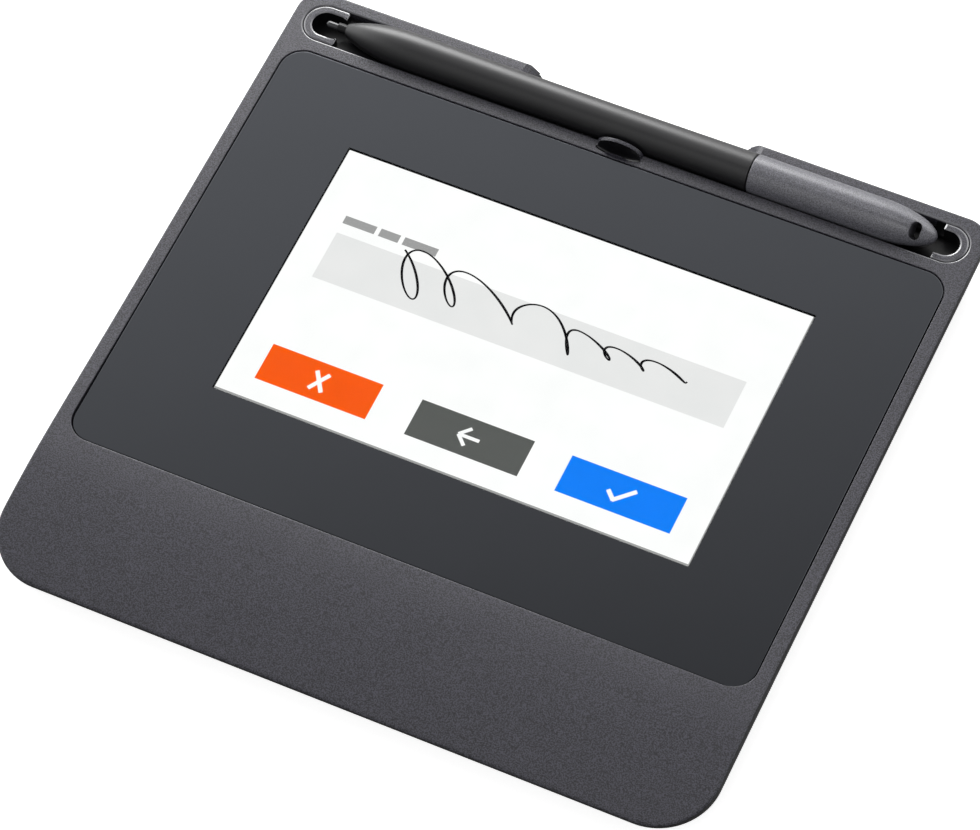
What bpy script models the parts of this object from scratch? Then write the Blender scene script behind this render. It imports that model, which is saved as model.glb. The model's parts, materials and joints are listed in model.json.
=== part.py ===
"""Signature pad with a pen in a bay behind the screen.

Metres, +Z up. The origin is under the middle of the case, on the surface that the feet stand on.
+X is the user's right and +Y points away from the user.
"""
import math

import bpy
import bmesh
from mathutils import Matrix, Vector

# Clearances shared by all the pieces
FIT = 0.0003
LAYER_GAP = 0.00015
OVERRUN = 0.004
MERGE = 0.00001
SLIVER = 0.0000005

# Cover glass
GLASS_WIDTH = 0.15435
GLASS_DEPTH = 0.1065
GLASS_THICKNESS = 0.0011
GLASS_CORNER = 0.0052
GLASS_BORDER_X = 0.016825
GLASS_BORDER_Y = 0.01535
GLASS_GAP = 0.00025
TAPE_THICKNESS = 0.0002
TAPE_WIDTH = 0.006

# Case outline and heights
SIDE_BORDER = 0.003425
PALM_DEPTH = 0.03375
FRONT_CORNER = 0.0133
REAR_CORNER = 0.0055
STAND_HEIGHT = 0.001
CASE_HEIGHT = 0.0095
PARTING_DROP = 0.0024
PARTING_FALL = 0.0011
PARTING_REACH = 0.01425
CREST_RISE = 0.0006
CREST_TO_GLASS = 0.00275
CREST_BLEND = 0.042
PALM_FALL = 0.0031
EDGE_ROUND = 0.0005
SEAM = 0.0002
UNDERCUT_START = 0.0003
UNDERCUT_INSET = 0.007
UNDERCUT_POWER = 1.4
UNDERCUT_SHARE = 0.94
BASE_ROUND = 0.0008
SWEEP_POWER = 1.75

# Walls of the case
DECK_THICKNESS = 0.0014
PALM_WALL = 0.0018
FLOOR_THICKNESS = 0.0016
RIM_WIDTH = 0.003
SKIRT_THICKNESS = 0.0014
SKIRT_DEPTH = 0.0042
SHELL_WALL = 0.0018

# Pen, measured along its axis from the nose end
PEN_RADIUS = 0.00435
PEN_RISE = 0.0004
NOSE_LENGTH = 0.02
NOSE_RADIUS = 0.0014
NOSE_BORE = 0.00115
NOSE_BORE_LENGTH = 0.004
NOSE_POWER = 3.2
WAIST_DROP = 0.0002
PEN_WALL = 0.001
PEN_BORE = 0.0029
SPIGOT_LENGTH = 0.006
SPIGOT_WALL = 0.0007
CAP_LENGTH = 0.0422
TAIL_LENGTH = 0.0102
TAIL_SOLID = 0.011
EYE_LENGTH = 0.0023
EYE_HEIGHT = 0.0038
EYE_FROM_TAIL = 0.0044
EYE_TILT = math.radians(33)

# Pieces inside the pen
NIB_RADIUS = 0.0007
NIB_REACH = 0.0049
NIB_LENGTH = 0.0361
NIB_TRAVEL = 0.0005
COLLAR_WALL = 0.00028
COLLAR_REACH = 0.002
COLLAR_LENGTH = 0.005
CORE_START = 0.006
CORE_LENGTH = 0.018
CORE_WALL = 0.0007
COIL_START = 0.0105
COIL_LENGTH = 0.0105
COIL_WALL = 0.0006
SENSOR_LENGTH = 0.006
PEN_BOARD_END_GAP = 0.0007
PEN_BOARD_WIDTH = 0.005
PEN_BOARD_THICKNESS = 0.0008

# Pen bay and its tray
PEN_SIDE_GAP = 0.000325
GLASS_TO_BAY = 0.00345
BAY_TO_REAR = 0.00295
BAY_END_BORDER = 0.00295
BAY_BEFORE_NOSE = 0.0102
BAY_AFTER_TAIL = 0.0069
TRAY_FLOOR = 0.0012
TRAY_TOP_DROP = 0.0003
TRAY_WALL_DROP = 0.0019
LIP_LENGTH = 0.0088
LIP_WIDTH = 0.0016
LIP_END_WIDTH = 0.0019
LIP_BEVEL = 0.0004
TRAY_TAB_LENGTH = 0.009
TRAY_TAB_REACH = 0.0052
TRAY_TAB_INSET = 0.02765

# Opening behind the pen, between the two ears
EAR_GAP_TOP = 0.0542
EAR_GAP_FOOT = 0.0448
EAR_GAP_DEPTH = 0.0049
EAR_ROUND = 0.0018

# Dished thumb nub in front of the pen
NUB_LENGTH = 0.0106
NUB_DEPTH = 0.0030
NUB_HEIGHT = 0.0029
DISH_RADIUS = 0.00371
DISH_LENGTH = 0.0124
DISH_BEHIND = 0.00414
DISH_RISE = 0.00385

# Display stack under the glass
LIT_OFFSET_Y = 0.0026
FRAME_BAND_X = 0.00435
FRAME_BAND_Y = 0.0035
FRAME_SHEET = 0.00025
FRAME_DROP = 0.00175
PANEL_THICKNESS = 0.0012
BACKLIGHT_THICKNESS = 0.0016
SENSOR_BOARD_THICKNESS = 0.0006
SHIELD_THICKNESS = 0.0003
HOLDER_FLOOR = 0.001
HOLDER_WALL = 0.0012
HOLDER_EAR_THICKNESS = 0.0012
HOLDER_EAR_RISE = 0.002
HOLDER_EAR_LENGTH = 0.008
HOLDER_EAR_REACH = 0.0052
HOLDER_EAR_INSET = 0.01185
NOTCH_RISE = 0.0014

# Main board
BOARD_THICKNESS = 0.001
BOARD_RISE = 0.0006
BOARD_INSET = 0.00035
BOARD_FRONT_GAP = 0.017
BOARD_TO_GLASS = 0.01025
ARM_WIDTH = 0.0085
ARM_GAP = 0.0022
ARM_TO_GLASS = 0.01425
CHIP_SIZE = 0.014
CHIP_HEIGHT = 0.0012
CONTROLLER_SIZE = 0.01
MEMORY_WIDTH = 0.0115
MEMORY_INSET = 0.018
MEMORY_DEPTH = 0.0065
PIN_REACH = 0.0009
PIN_HEIGHT = 0.0003
CONNECTOR_HEIGHT = 0.0018
CONNECTOR_DEPTH = 0.0042
DISPLAY_CONNECTOR_WIDTH = 0.022
SENSOR_CONNECTOR_WIDTH = 0.016
CONNECTOR_SHARE = 0.2
CONNECTOR_INSET = 0.0014
CHIP_TO_CONNECTOR = 0.0009
FLEX_THICKNESS = 0.00025
FLEX_MARGIN = 0.002

# USB socket in the left wall
SOCKET_WIDTH = 0.0075
SOCKET_HEIGHT = 0.0027
SOCKET_DEPTH = 0.0075
SOCKET_SHEET = 0.0003
SOCKET_FROM_ARM = 0.018
SOCKET_FACE_INSET = 0.0033
TONGUE_WIDTH = 0.005
TONGUE_HEIGHT = 0.0007
INLET_MARGIN = 0.0007

# Rubber feet
FOOT_RADIUS = 0.0055
FOOT_HEIGHT = 0.0015
FOOT_RECESS = 0.0008
FOOT_SIDE_INSET = 0.0246
FOOT_FRONT_INSET = 0.018
FOOT_REAR_INSET = 0.027
FOOT_ROUND = 0.0003

# Screws
CASE_SCREW_INSET = 0.0126
CASE_SCREW_FRONT_GAP = 0.016
CASE_SCREW_MIDDLE_GAP = 0.0115
CASE_SCREW_TO_GLASS = 0.00375
CASE_HEAD_RADIUS = 0.0019
CASE_HEAD_HEIGHT = 0.001
CASE_SHANK_RADIUS = 0.00085
CASE_SCREW_REACH = 0.0052
CASE_HEAD_SINK = 0.0002
COLUMN_RADIUS = 0.0036
COLUMN_SEAT = 0.0012
BOSS_RADIUS = 0.0026
SCREW_CLEARANCE = 0.0002
SMALL_HEAD_RADIUS = 0.0015
SMALL_HEAD_HEIGHT = 0.0007
SMALL_SHANK_RADIUS = 0.0007
SMALL_BOSS_RADIUS = 0.0021
HOLDER_SCREW_REACH = 0.0024
BOARD_SCREW_REACH = 0.0016
CROSS_LENGTH = 0.0022
CROSS_WIDTH = 0.0005
CROSS_DEPTH = 0.0005
SMALL_CROSS_LENGTH = 0.0016

# Fineness
CORNER_STEPS = 7
PEN_SIDES = 28
SCREW_SIDES = 12
FOOT_SIDES = 24
NOSE_STEPS = 9
SWEEP_STEPS = 9
TRAY_STEPS = 5
TAIL_STEPS = 8
UNDERCUT_STEPS = 5

# Places worked out from the sizes above
CASE_WIDTH = GLASS_WIDTH + 2 * SIDE_BORDER
BAY_WIDTH = 2 * (PEN_RADIUS + PEN_SIDE_GAP)
CASE_DEPTH = PALM_DEPTH + GLASS_DEPTH + GLASS_TO_BAY + BAY_WIDTH + BAY_TO_REAR
FRONT_Y = -CASE_DEPTH / 2
REAR_Y = CASE_DEPTH / 2
GLASS_FRONT_Y = FRONT_Y + PALM_DEPTH
GLASS_Y = GLASS_FRONT_Y + GLASS_DEPTH / 2
GLASS_REAR_Y = GLASS_FRONT_Y + GLASS_DEPTH
CREST_FROM_FRONT = PALM_DEPTH - CREST_TO_GLASS
PARTING_START = PALM_DEPTH + PARTING_REACH
BAY_FRONT_Y = GLASS_REAR_Y + GLASS_TO_BAY
PEN_Y = BAY_FRONT_Y + BAY_WIDTH / 2
TOP_Z = STAND_HEIGHT + CASE_HEIGHT
PARTING_Z = TOP_Z - PARTING_DROP
PEN_Z = TOP_Z + PEN_RISE
BAY_LENGTH = CASE_WIDTH - 2 * BAY_END_BORDER
PEN_LENGTH = BAY_LENGTH - BAY_BEFORE_NOSE - BAY_AFTER_TAIL
BARREL_LENGTH = PEN_LENGTH - CAP_LENGTH
NOSE_X = -BAY_LENGTH / 2 + BAY_BEFORE_NOSE
DECK_TOP_Z = TOP_Z - GLASS_THICKNESS - TAPE_THICKNESS - 2 * LAYER_GAP
DECK_Z = DECK_TOP_Z - DECK_THICKNESS
FLOOR_Z = STAND_HEIGHT + FLOOR_THICKNESS
SKIRT_Z = TOP_Z - SKIRT_DEPTH
DISPLAY_Y = GLASS_Y + LIT_OFFSET_Y
TRAY_BASE_Z = PEN_Z - PEN_RADIUS - FIT - TRAY_FLOOR
TRAY_TOP_Z = TOP_Z - TRAY_TOP_DROP
TRAY_WALL_Z = TOP_Z - TRAY_WALL_DROP
TRAY_TAB_Z = TRAY_BASE_Z + TRAY_FLOOR
SEAT_Z = STAND_HEIGHT + COLUMN_SEAT
TRAY_TAB_X = BAY_LENGTH / 2 - TRAY_TAB_INSET
FOOT_X = CASE_WIDTH / 2 - FOOT_SIDE_INSET
CASE_SCREW_X = CASE_WIDTH / 2 - CASE_SCREW_INSET

MODULE_WIDTH = GLASS_WIDTH - 2 * GLASS_BORDER_X
MODULE_DEPTH = GLASS_DEPTH - 2 * GLASS_BORDER_Y
WINDOW_WIDTH = MODULE_WIDTH - 2 * FRAME_BAND_X
WINDOW_DEPTH = MODULE_DEPTH - 2 * FRAME_BAND_Y
FRAME_TOP_Z = TOP_Z - FRAME_DROP
PANEL_TOP_Z = FRAME_TOP_Z - FRAME_SHEET - LAYER_GAP
PANEL_Z = PANEL_TOP_Z - PANEL_THICKNESS
BACKLIGHT_Z = PANEL_Z - LAYER_GAP - BACKLIGHT_THICKNESS
SENSOR_BOARD_Z = BACKLIGHT_Z - LAYER_GAP - SENSOR_BOARD_THICKNESS
SHIELD_Z = SENSOR_BOARD_Z - LAYER_GAP - SHIELD_THICKNESS
HOLDER_Z = SHIELD_Z - LAYER_GAP - HOLDER_FLOOR
POCKET_WIDTH = MODULE_WIDTH + 2 * FIT
POCKET_DEPTH = MODULE_DEPTH + 2 * FIT
HOLDER_WIDTH = POCKET_WIDTH + 2 * HOLDER_WALL
HOLDER_DEPTH = POCKET_DEPTH + 2 * HOLDER_WALL
HOLDER_TOP_Z = DECK_Z - FIT
HOLDER_EAR_X = HOLDER_WIDTH / 2 - HOLDER_EAR_INSET
HOLDER_EAR_Z = HOLDER_Z + HOLDER_EAR_RISE
HOLDER_FRONT_Y = DISPLAY_Y - HOLDER_DEPTH / 2

BOARD_WIDTH = MODULE_WIDTH - 2 * BOARD_INSET
BOARD_Z = FLOOR_Z + BOARD_RISE
BOARD_TOP_Z = BOARD_Z + BOARD_THICKNESS
BOARD_FRONT_Y = FRONT_Y + BOARD_FRONT_GAP
BOARD_REAR_Y = GLASS_FRONT_Y + BOARD_TO_GLASS
PART_Z = BOARD_TOP_Z + LAYER_GAP
ARM_RIGHT_X = -HOLDER_WIDTH / 2 - ARM_GAP
ARM_LEFT_X = ARM_RIGHT_X - ARM_WIDTH
ARM_REAR_Y = GLASS_REAR_Y - ARM_TO_GLASS
CONNECTOR_X = BOARD_WIDTH * CONNECTOR_SHARE
MEMORY_X = BOARD_WIDTH / 2 - MEMORY_INSET
SOCKET_Y = ARM_REAR_Y - SOCKET_FROM_ARM
CONNECTOR_Y = BOARD_REAR_Y - CONNECTOR_INSET - CONNECTOR_DEPTH / 2
SOCKET_FACE_X = -CASE_WIDTH / 2 + SOCKET_FACE_INSET

PAD = {}


def new_collection(name):
    group = bpy.data.collections.new(name)
    bpy.context.scene.collection.children.link(group)
    return group


def clear_scene():
    for item in list(bpy.data.objects):
        bpy.data.objects.remove(item, do_unlink=True)


def add_object(name, mesh, group="parts"):
    item = bpy.data.objects.new(name, mesh)
    PAD[group].objects.link(item)
    if group == "cutters":
        item.hide_render = True
        item.display_type = "WIRE"
    return item


def take_over(item, name, group):
    """Name the object that an operator has just made and move it to its collection."""
    for owner in list(item.users_collection):
        owner.objects.unlink(item)
    PAD[group].objects.link(item)
    item.name = name
    item.data.name = name
    if group == "cutters":
        item.hide_render = True
        item.display_type = "WIRE"
    return item


def finish(item, colour, roughness, metallic=0.0, smooth=None):
    material = bpy.data.materials.new(item.name)
    material.use_nodes = True
    shader = material.node_tree.nodes["Principled BSDF"]
    shader.inputs["Base Color"].default_value = (*colour, 1)
    shader.inputs["Roughness"].default_value = roughness
    shader.inputs["Metallic"].default_value = metallic
    material.diffuse_color = (*colour, 1)
    item.data.materials.clear()
    item.data.materials.append(material)
    if smooth:
        item.data.shade_smooth()
        item.data.set_sharp_from_angle(angle=math.radians(smooth))
    return item


def boolean(item, other, operation="DIFFERENCE"):
    modifier = item.modifiers.new(other.name, "BOOLEAN")
    modifier.operation = operation
    modifier.solver = "EXACT"
    modifier.object = other
    return item


def bake(item):
    """Apply the modifiers, so that a shape can be cut before the next one is added."""
    graph = bpy.context.evaluated_depsgraph_get()
    mesh = bpy.data.meshes.new_from_object(item.evaluated_get(graph))
    item.modifiers.clear()
    item.data = mesh
    shape = bmesh.new()
    shape.from_mesh(mesh)
    bmesh.ops.remove_doubles(shape, verts=shape.verts, dist=SLIVER)
    bmesh.ops.dissolve_degenerate(shape, edges=shape.edges, dist=SLIVER)
    shape.to_mesh(mesh)
    shape.free()
    return item


def box(name, low, high, group="parts"):
    bpy.ops.mesh.primitive_cube_add(size=1)
    item = take_over(bpy.context.object, name, group)
    size = Vector(high) - Vector(low)
    item.data.transform(Matrix.Translation((Vector(high) + Vector(low)) / 2) @ Matrix.Diagonal((*size, 1)))
    return item


def cylinder(name, centre, radius, low, high, group="parts", sides=SCREW_SIDES):
    """Upright cylinder at centre (x, y), from height low to high."""
    bpy.ops.mesh.primitive_cylinder_add(vertices=sides, radius=radius, depth=high - low)
    item = take_over(bpy.context.object, name, group)
    item.data.transform(Matrix.Translation((centre[0], centre[1], (low + high) / 2)))
    return item


def arc(centre, radius, start, end, steps):
    points = []
    for step in range(steps + 1):
        angle = start + (end - start) * step / steps
        points.append((centre[0] + radius * math.cos(angle), centre[1] + radius * math.sin(angle)))
    return points


def rounded_rectangle(centre, width, depth, radius, steps=CORNER_STEPS):
    x, y = width / 2 - radius, depth / 2 - radius
    corners = (((x, -y), -0.5), ((x, y), 0), ((-x, y), 0.5), ((-x, -y), 1))
    points = []
    for (corner_x, corner_y), turn in corners:
        start = turn * math.pi
        place = (centre[0] + corner_x, centre[1] + corner_y)
        points += arc(place, radius, start, start + math.pi / 2, steps)
    return points


def plate(name, outline, low, high, group="parts", turn=None):
    """Flat outline as a filled 2D curve with an extrude, from low to high, made a welded mesh."""
    curve = bpy.data.curves.new(name, "CURVE")
    curve.dimensions = "2D"
    curve.fill_mode = "BOTH"
    curve.extrude = (high - low) / 2
    loops = outline if isinstance(outline[0][0], tuple) else [outline]
    for loop in loops:
        spline = curve.splines.new("POLY")
        spline.points.add(len(loop) - 1)
        for point, (x, y) in zip(spline.points, loop):
            point.co = (x, y, 0, 1)
        spline.use_cyclic_u = True
    guide = bpy.data.objects.new(name + "_curve", curve)
    PAD["cutters"].objects.link(guide)
    guide.matrix_world = (turn or Matrix.Identity(4)) @ Matrix.Translation((0, 0, (low + high) / 2))
    bpy.context.view_layer.update()
    graph = bpy.context.evaluated_depsgraph_get()
    mesh = bpy.data.meshes.new_from_object(guide.evaluated_get(graph))
    shape = bmesh.new()
    shape.from_mesh(mesh)
    bmesh.ops.remove_doubles(shape, verts=shape.verts, dist=MERGE)
    bmesh.ops.transform(shape, matrix=guide.matrix_world, verts=shape.verts)
    bmesh.ops.recalc_face_normals(shape, faces=shape.faces)
    shape.to_mesh(mesh)
    shape.free()
    bpy.data.objects.remove(guide, do_unlink=True)
    return add_object(name, mesh, group)


# A side outline is drawn as (y, z) or (x, z) and turned upright by one of these
ALONG_X = Matrix(((0, 0, 1, 0), (1, 0, 0, 0), (0, 1, 0, 0), (0, 0, 0, 1)))
ALONG_Y = Matrix(((1, 0, 0, 0), (0, 0, -1, 0), (0, 1, 0, 0), (0, 0, 0, 1)))


def turned(name, profile, start_x, group="parts", sides=PEN_SIDES, height=PEN_Z):
    """Closed profile of (distance along, radius) pairs, turned about the pen's axis."""
    mesh = bpy.data.meshes.new(name)
    shape = bmesh.new()
    verts = [shape.verts.new((radius, 0, -along)) for along, radius in profile]
    closed = profile[0][1] > 0
    pairs = list(zip(verts, verts[1:] + verts[:1])) if closed else list(zip(verts, verts[1:]))
    for first, second in pairs:
        shape.edges.new((first, second))
    shape.to_mesh(mesh)
    shape.free()
    item = add_object(name, mesh, group)
    screw = item.modifiers.new("turn", "SCREW")
    screw.steps = sides
    screw.render_steps = sides
    screw.use_merge_vertices = True
    screw.merge_threshold = MERGE
    bake(item)
    item.data.transform(Matrix.Translation((start_x, PEN_Y, height)) @ Matrix.Rotation(-math.pi / 2, 4, "Y"))
    shape = bmesh.new()
    shape.from_mesh(item.data)
    bmesh.ops.remove_doubles(shape, verts=shape.verts, dist=MERGE)
    bmesh.ops.recalc_face_normals(shape, faces=shape.faces)
    shape.to_mesh(item.data)
    shape.free()
    return item


def top_height(y):
    """Height of the case's top face: a low crest before the glass, then a fall to the front."""
    crest_y = FRONT_Y + CREST_FROM_FRONT
    if y >= crest_y:
        share = min(1, max(0, 1 - (y - crest_y) / CREST_BLEND))
        return TOP_Z + CREST_RISE * share * share * (3 - 2 * share)
    share = (crest_y - y) / CREST_FROM_FRONT
    return TOP_Z + CREST_RISE - PALM_FALL * share ** SWEEP_POWER


def parting_height(y):
    """Height of the seam between the two cases, which falls with the palm rest."""
    share = max(0, (FRONT_Y + PARTING_START - y) / PARTING_START)
    return PARTING_Z - PARTING_FALL * share ** SWEEP_POWER


def half_outline(inset):
    """Right half of the case's outline, front to rear, moved in by inset."""
    points = []
    corners = ((FRONT_CORNER, FRONT_Y, -math.pi / 2, 1), (REAR_CORNER, REAR_Y, 0, -1))
    for corner, (radius, edge_y, start, side) in enumerate(corners):
        inner = max(radius - inset, radius * 0.25)
        place = (CASE_WIDTH / 2 - inset - inner, edge_y + side * (inset + inner))
        points += arc(place, inner, start, start + math.pi / 2, CORNER_STEPS + 2)
        if corner == 0:
            first_y = FRONT_Y + FRONT_CORNER
            last_y = FRONT_Y + CREST_FROM_FRONT + CREST_BLEND
            for step in range(1, SWEEP_STEPS + 1):
                y = first_y + (last_y - first_y) * step / SWEEP_STEPS
                points.append((CASE_WIDTH / 2 - inset, y))
    return points


def ring_loft(name, rings, group="parts"):
    """Body between outlines of the case: each ring is an inset and a height for each y."""
    shape = bmesh.new()
    levels = []
    for inset, height in rings:
        half = half_outline(inset)
        right = [shape.verts.new((x, y, height(y))) for x, y in half]
        left = [shape.verts.new((-x, y, height(y))) for x, y in half]
        levels.append((right, left))
    for (right_a, left_a), (right_b, left_b) in zip(levels, levels[1:]):
        loop_a = right_a + left_a[::-1]
        loop_b = right_b + left_b[::-1]
        for i in range(len(loop_a)):
            j = (i + 1) % len(loop_a)
            shape.faces.new((loop_a[i], loop_a[j], loop_b[j], loop_b[i]))
    for right, left in (levels[0], levels[-1]):
        for i in range(len(right) - 1):
            shape.faces.new((right[i], right[i + 1], left[i + 1], left[i]))
    bmesh.ops.recalc_face_normals(shape, faces=shape.faces)
    mesh = bpy.data.meshes.new(name)
    shape.to_mesh(mesh)
    shape.free()
    return add_object(name, mesh, group)


def outline_loft(name, levels, group="parts"):
    """Body between outlines with the same number of points, each at its own height."""
    shape = bmesh.new()
    loops = [[shape.verts.new((x, y, height)) for x, y in outline] for outline, height in levels]
    for loop_a, loop_b in zip(loops, loops[1:]):
        for i in range(len(loop_a)):
            j = (i + 1) % len(loop_a)
            shape.faces.new((loop_a[i], loop_a[j], loop_b[j], loop_b[i]))
    shape.faces.new(loops[0])
    shape.faces.new(loops[-1])
    bmesh.ops.remove_doubles(shape, verts=shape.verts, dist=SLIVER)
    bmesh.ops.recalc_face_normals(shape, faces=shape.faces)
    mesh = bpy.data.meshes.new(name)
    shape.to_mesh(mesh)
    shape.free()
    return add_object(name, mesh, group)


def level(height):
    return lambda y: height


def above(function, offset):
    return lambda y: function(y) + offset


def bay_outline(grow=0.0):
    """The pen bay seen from above: straight sides and round ends."""
    width = BAY_WIDTH + 2 * grow
    return rounded_rectangle((0, PEN_Y), BAY_LENGTH + 2 * grow, width, width / 2 - MERGE, CORNER_STEPS + 2)


def side_sweep(front_y, rear_y, function, offset):
    """Points along a swept height, from front_y to rear_y."""
    points = []
    for step in range(SWEEP_STEPS + 1):
        y = front_y + (rear_y - front_y) * step / SWEEP_STEPS
        points.append((y, function(y) + offset))
    return points


def case_screw_places():
    front_y, rear_y = FRONT_Y + CASE_SCREW_FRONT_GAP, GLASS_REAR_Y - CASE_SCREW_TO_GLASS
    front = [(-CASE_SCREW_X, front_y), (CASE_SCREW_X, front_y)]
    middle = [(0, FRONT_Y + CASE_SCREW_MIDDLE_GAP), (0, rear_y)]
    rear = [(-CASE_SCREW_X, rear_y), (CASE_SCREW_X, rear_y)]
    return front + middle + rear


def holder_screw_places():
    reach = HOLDER_DEPTH / 2 + HOLDER_EAR_REACH / 2
    return [(side_x * HOLDER_EAR_X, DISPLAY_Y + side_y * reach) for side_x in (-1, 1) for side_y in (-1, 1)]


def tray_screw_places():
    y = BAY_FRONT_Y - TRAY_TAB_REACH / 2
    return [(-TRAY_TAB_X, y), (TRAY_TAB_X, y)]


def board_screw_places():
    edge = SMALL_BOSS_RADIUS + FIT
    left = -BOARD_WIDTH / 2 + edge
    right = BOARD_WIDTH / 2 - edge
    arm = (ARM_LEFT_X + ARM_RIGHT_X) / 2
    return [(left, BOARD_FRONT_Y + edge), (right, BOARD_FRONT_Y + edge), (right, BOARD_REAR_Y - edge),
            (arm, ARM_REAR_Y - edge)]


def foot_places():
    ends = (FRONT_Y + FOOT_FRONT_INSET, REAR_Y - FOOT_REAR_INSET)
    return [(side * FOOT_X, y) for y in ends for side in (-1, 1)]


def ear_gap_cutter(name, foot_z):
    """Opening between the ears: sloping ends with a round at the top, deeper than the pen's middle."""
    top, foot = EAR_GAP_TOP / 2, EAR_GAP_FOOT / 2
    slope = math.atan2(EAR_GAP_DEPTH, top - foot)
    start = math.pi / 2
    centre = (top + EAR_ROUND * math.tan(slope / 2), TOP_Z - EAR_ROUND)
    right = arc(centre, EAR_ROUND, start, start + slope, 4)
    end_x = foot - (TOP_Z - EAR_GAP_DEPTH - foot_z) / math.tan(slope)
    right = [(centre[0], TOP_Z + OVERRUN)] + right + [(end_x, foot_z)]
    left = [(-x, z) for x, z in right[::-1]]
    return plate(name, right + left, -REAR_Y - OVERRUN, -PEN_Y - BAY_WIDTH / 2 + FIT, "cutters", ALONG_Y)


def thumb_nub():
    """Raised nub with a dished front, on the bay's front rim."""
    bpy.ops.mesh.primitive_uv_sphere_add(segments=20, ring_count=10, radius=1)
    nub = take_over(bpy.context.object, "nub_boss", "cutters")
    place = Matrix.Translation((0, BAY_FRONT_Y, TOP_Z))
    nub.data.transform(place @ Matrix.Diagonal((NUB_LENGTH / 2, NUB_DEPTH, NUB_HEIGHT, 1)))
    bpy.ops.mesh.primitive_uv_sphere_add(segments=24, ring_count=12, radius=1)
    dish = take_over(bpy.context.object, "nub_dish", "cutters")
    place = Matrix.Translation((0, BAY_FRONT_Y - DISH_BEHIND, TOP_Z + DISH_RISE))
    dish.data.transform(place @ Matrix.Diagonal((DISH_LENGTH / 2, DISH_RADIUS, DISH_RADIUS, 1)))
    return bake(boolean(nub, dish))


def glass_outline(grow):
    centre = (0, GLASS_Y)
    return rounded_rectangle(centre, GLASS_WIDTH + 2 * grow, GLASS_DEPTH + 2 * grow, GLASS_CORNER + grow)


def case_bosses(item):
    """Screw bosses that hang from the deck and from the palm rest."""
    for index, (x, y) in enumerate(case_screw_places()):
        top = DECK_TOP_Z - FIT if y > GLASS_FRONT_Y else top_height(y) - PALM_WALL / 2
        boss = cylinder(f"boss_{index}", (x, y), BOSS_RADIUS, SEAT_Z + DECK_THICKNESS + FIT, top, "cutters")
        boolean(item, boss, "UNION")
    for index, (x, y) in enumerate(holder_screw_places()):
        low = HOLDER_EAR_Z + HOLDER_EAR_THICKNESS + FIT
        boss = cylinder(f"holder_boss_{index}", (x, y), SMALL_BOSS_RADIUS, low, DECK_TOP_Z - FIT, "cutters")
        boolean(item, boss, "UNION")
    for index, (x, y) in enumerate(tray_screw_places()):
        low = TRAY_TAB_Z + FIT
        boss = cylinder(f"tray_boss_{index}", (x, y), SMALL_BOSS_RADIUS, low, DECK_TOP_Z - FIT, "cutters")
        boolean(item, boss, "UNION")
    return bake(item)


def boss_holes(item):
    places = [(p, CASE_SHANK_RADIUS, SEAT_Z, SEAT_Z + CASE_SCREW_REACH) for p in case_screw_places()]
    ear_top = HOLDER_EAR_Z + HOLDER_EAR_THICKNESS
    places += [(p, SMALL_SHANK_RADIUS, ear_top, ear_top + HOLDER_SCREW_REACH) for p in holder_screw_places()]
    tab_top = TRAY_TAB_Z
    places += [(p, SMALL_SHANK_RADIUS, tab_top, tab_top + HOLDER_SCREW_REACH) for p in tray_screw_places()]
    for index, (place, radius, low, high) in enumerate(places):
        radius += SCREW_CLEARANCE
        hole = cylinder(f"boss_hole_{index}", place, radius, low - OVERRUN, high + FIT, "cutters")
        boolean(item, hole)
    return bake(item)


def inlet_cutter(name, inner_x):
    """Opening for the plug, from outside the left wall to inner_x."""
    centre = (SOCKET_Y, PART_Z + SOCKET_HEIGHT / 2)
    width = SOCKET_WIDTH + 2 * INLET_MARGIN
    height = SOCKET_HEIGHT + 2 * FIT
    outline = rounded_rectangle(centre, width, height, height / 4, 3)
    return plate(name, outline, -CASE_WIDTH / 2 - OVERRUN, inner_x, "cutters", ALONG_X)


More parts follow.
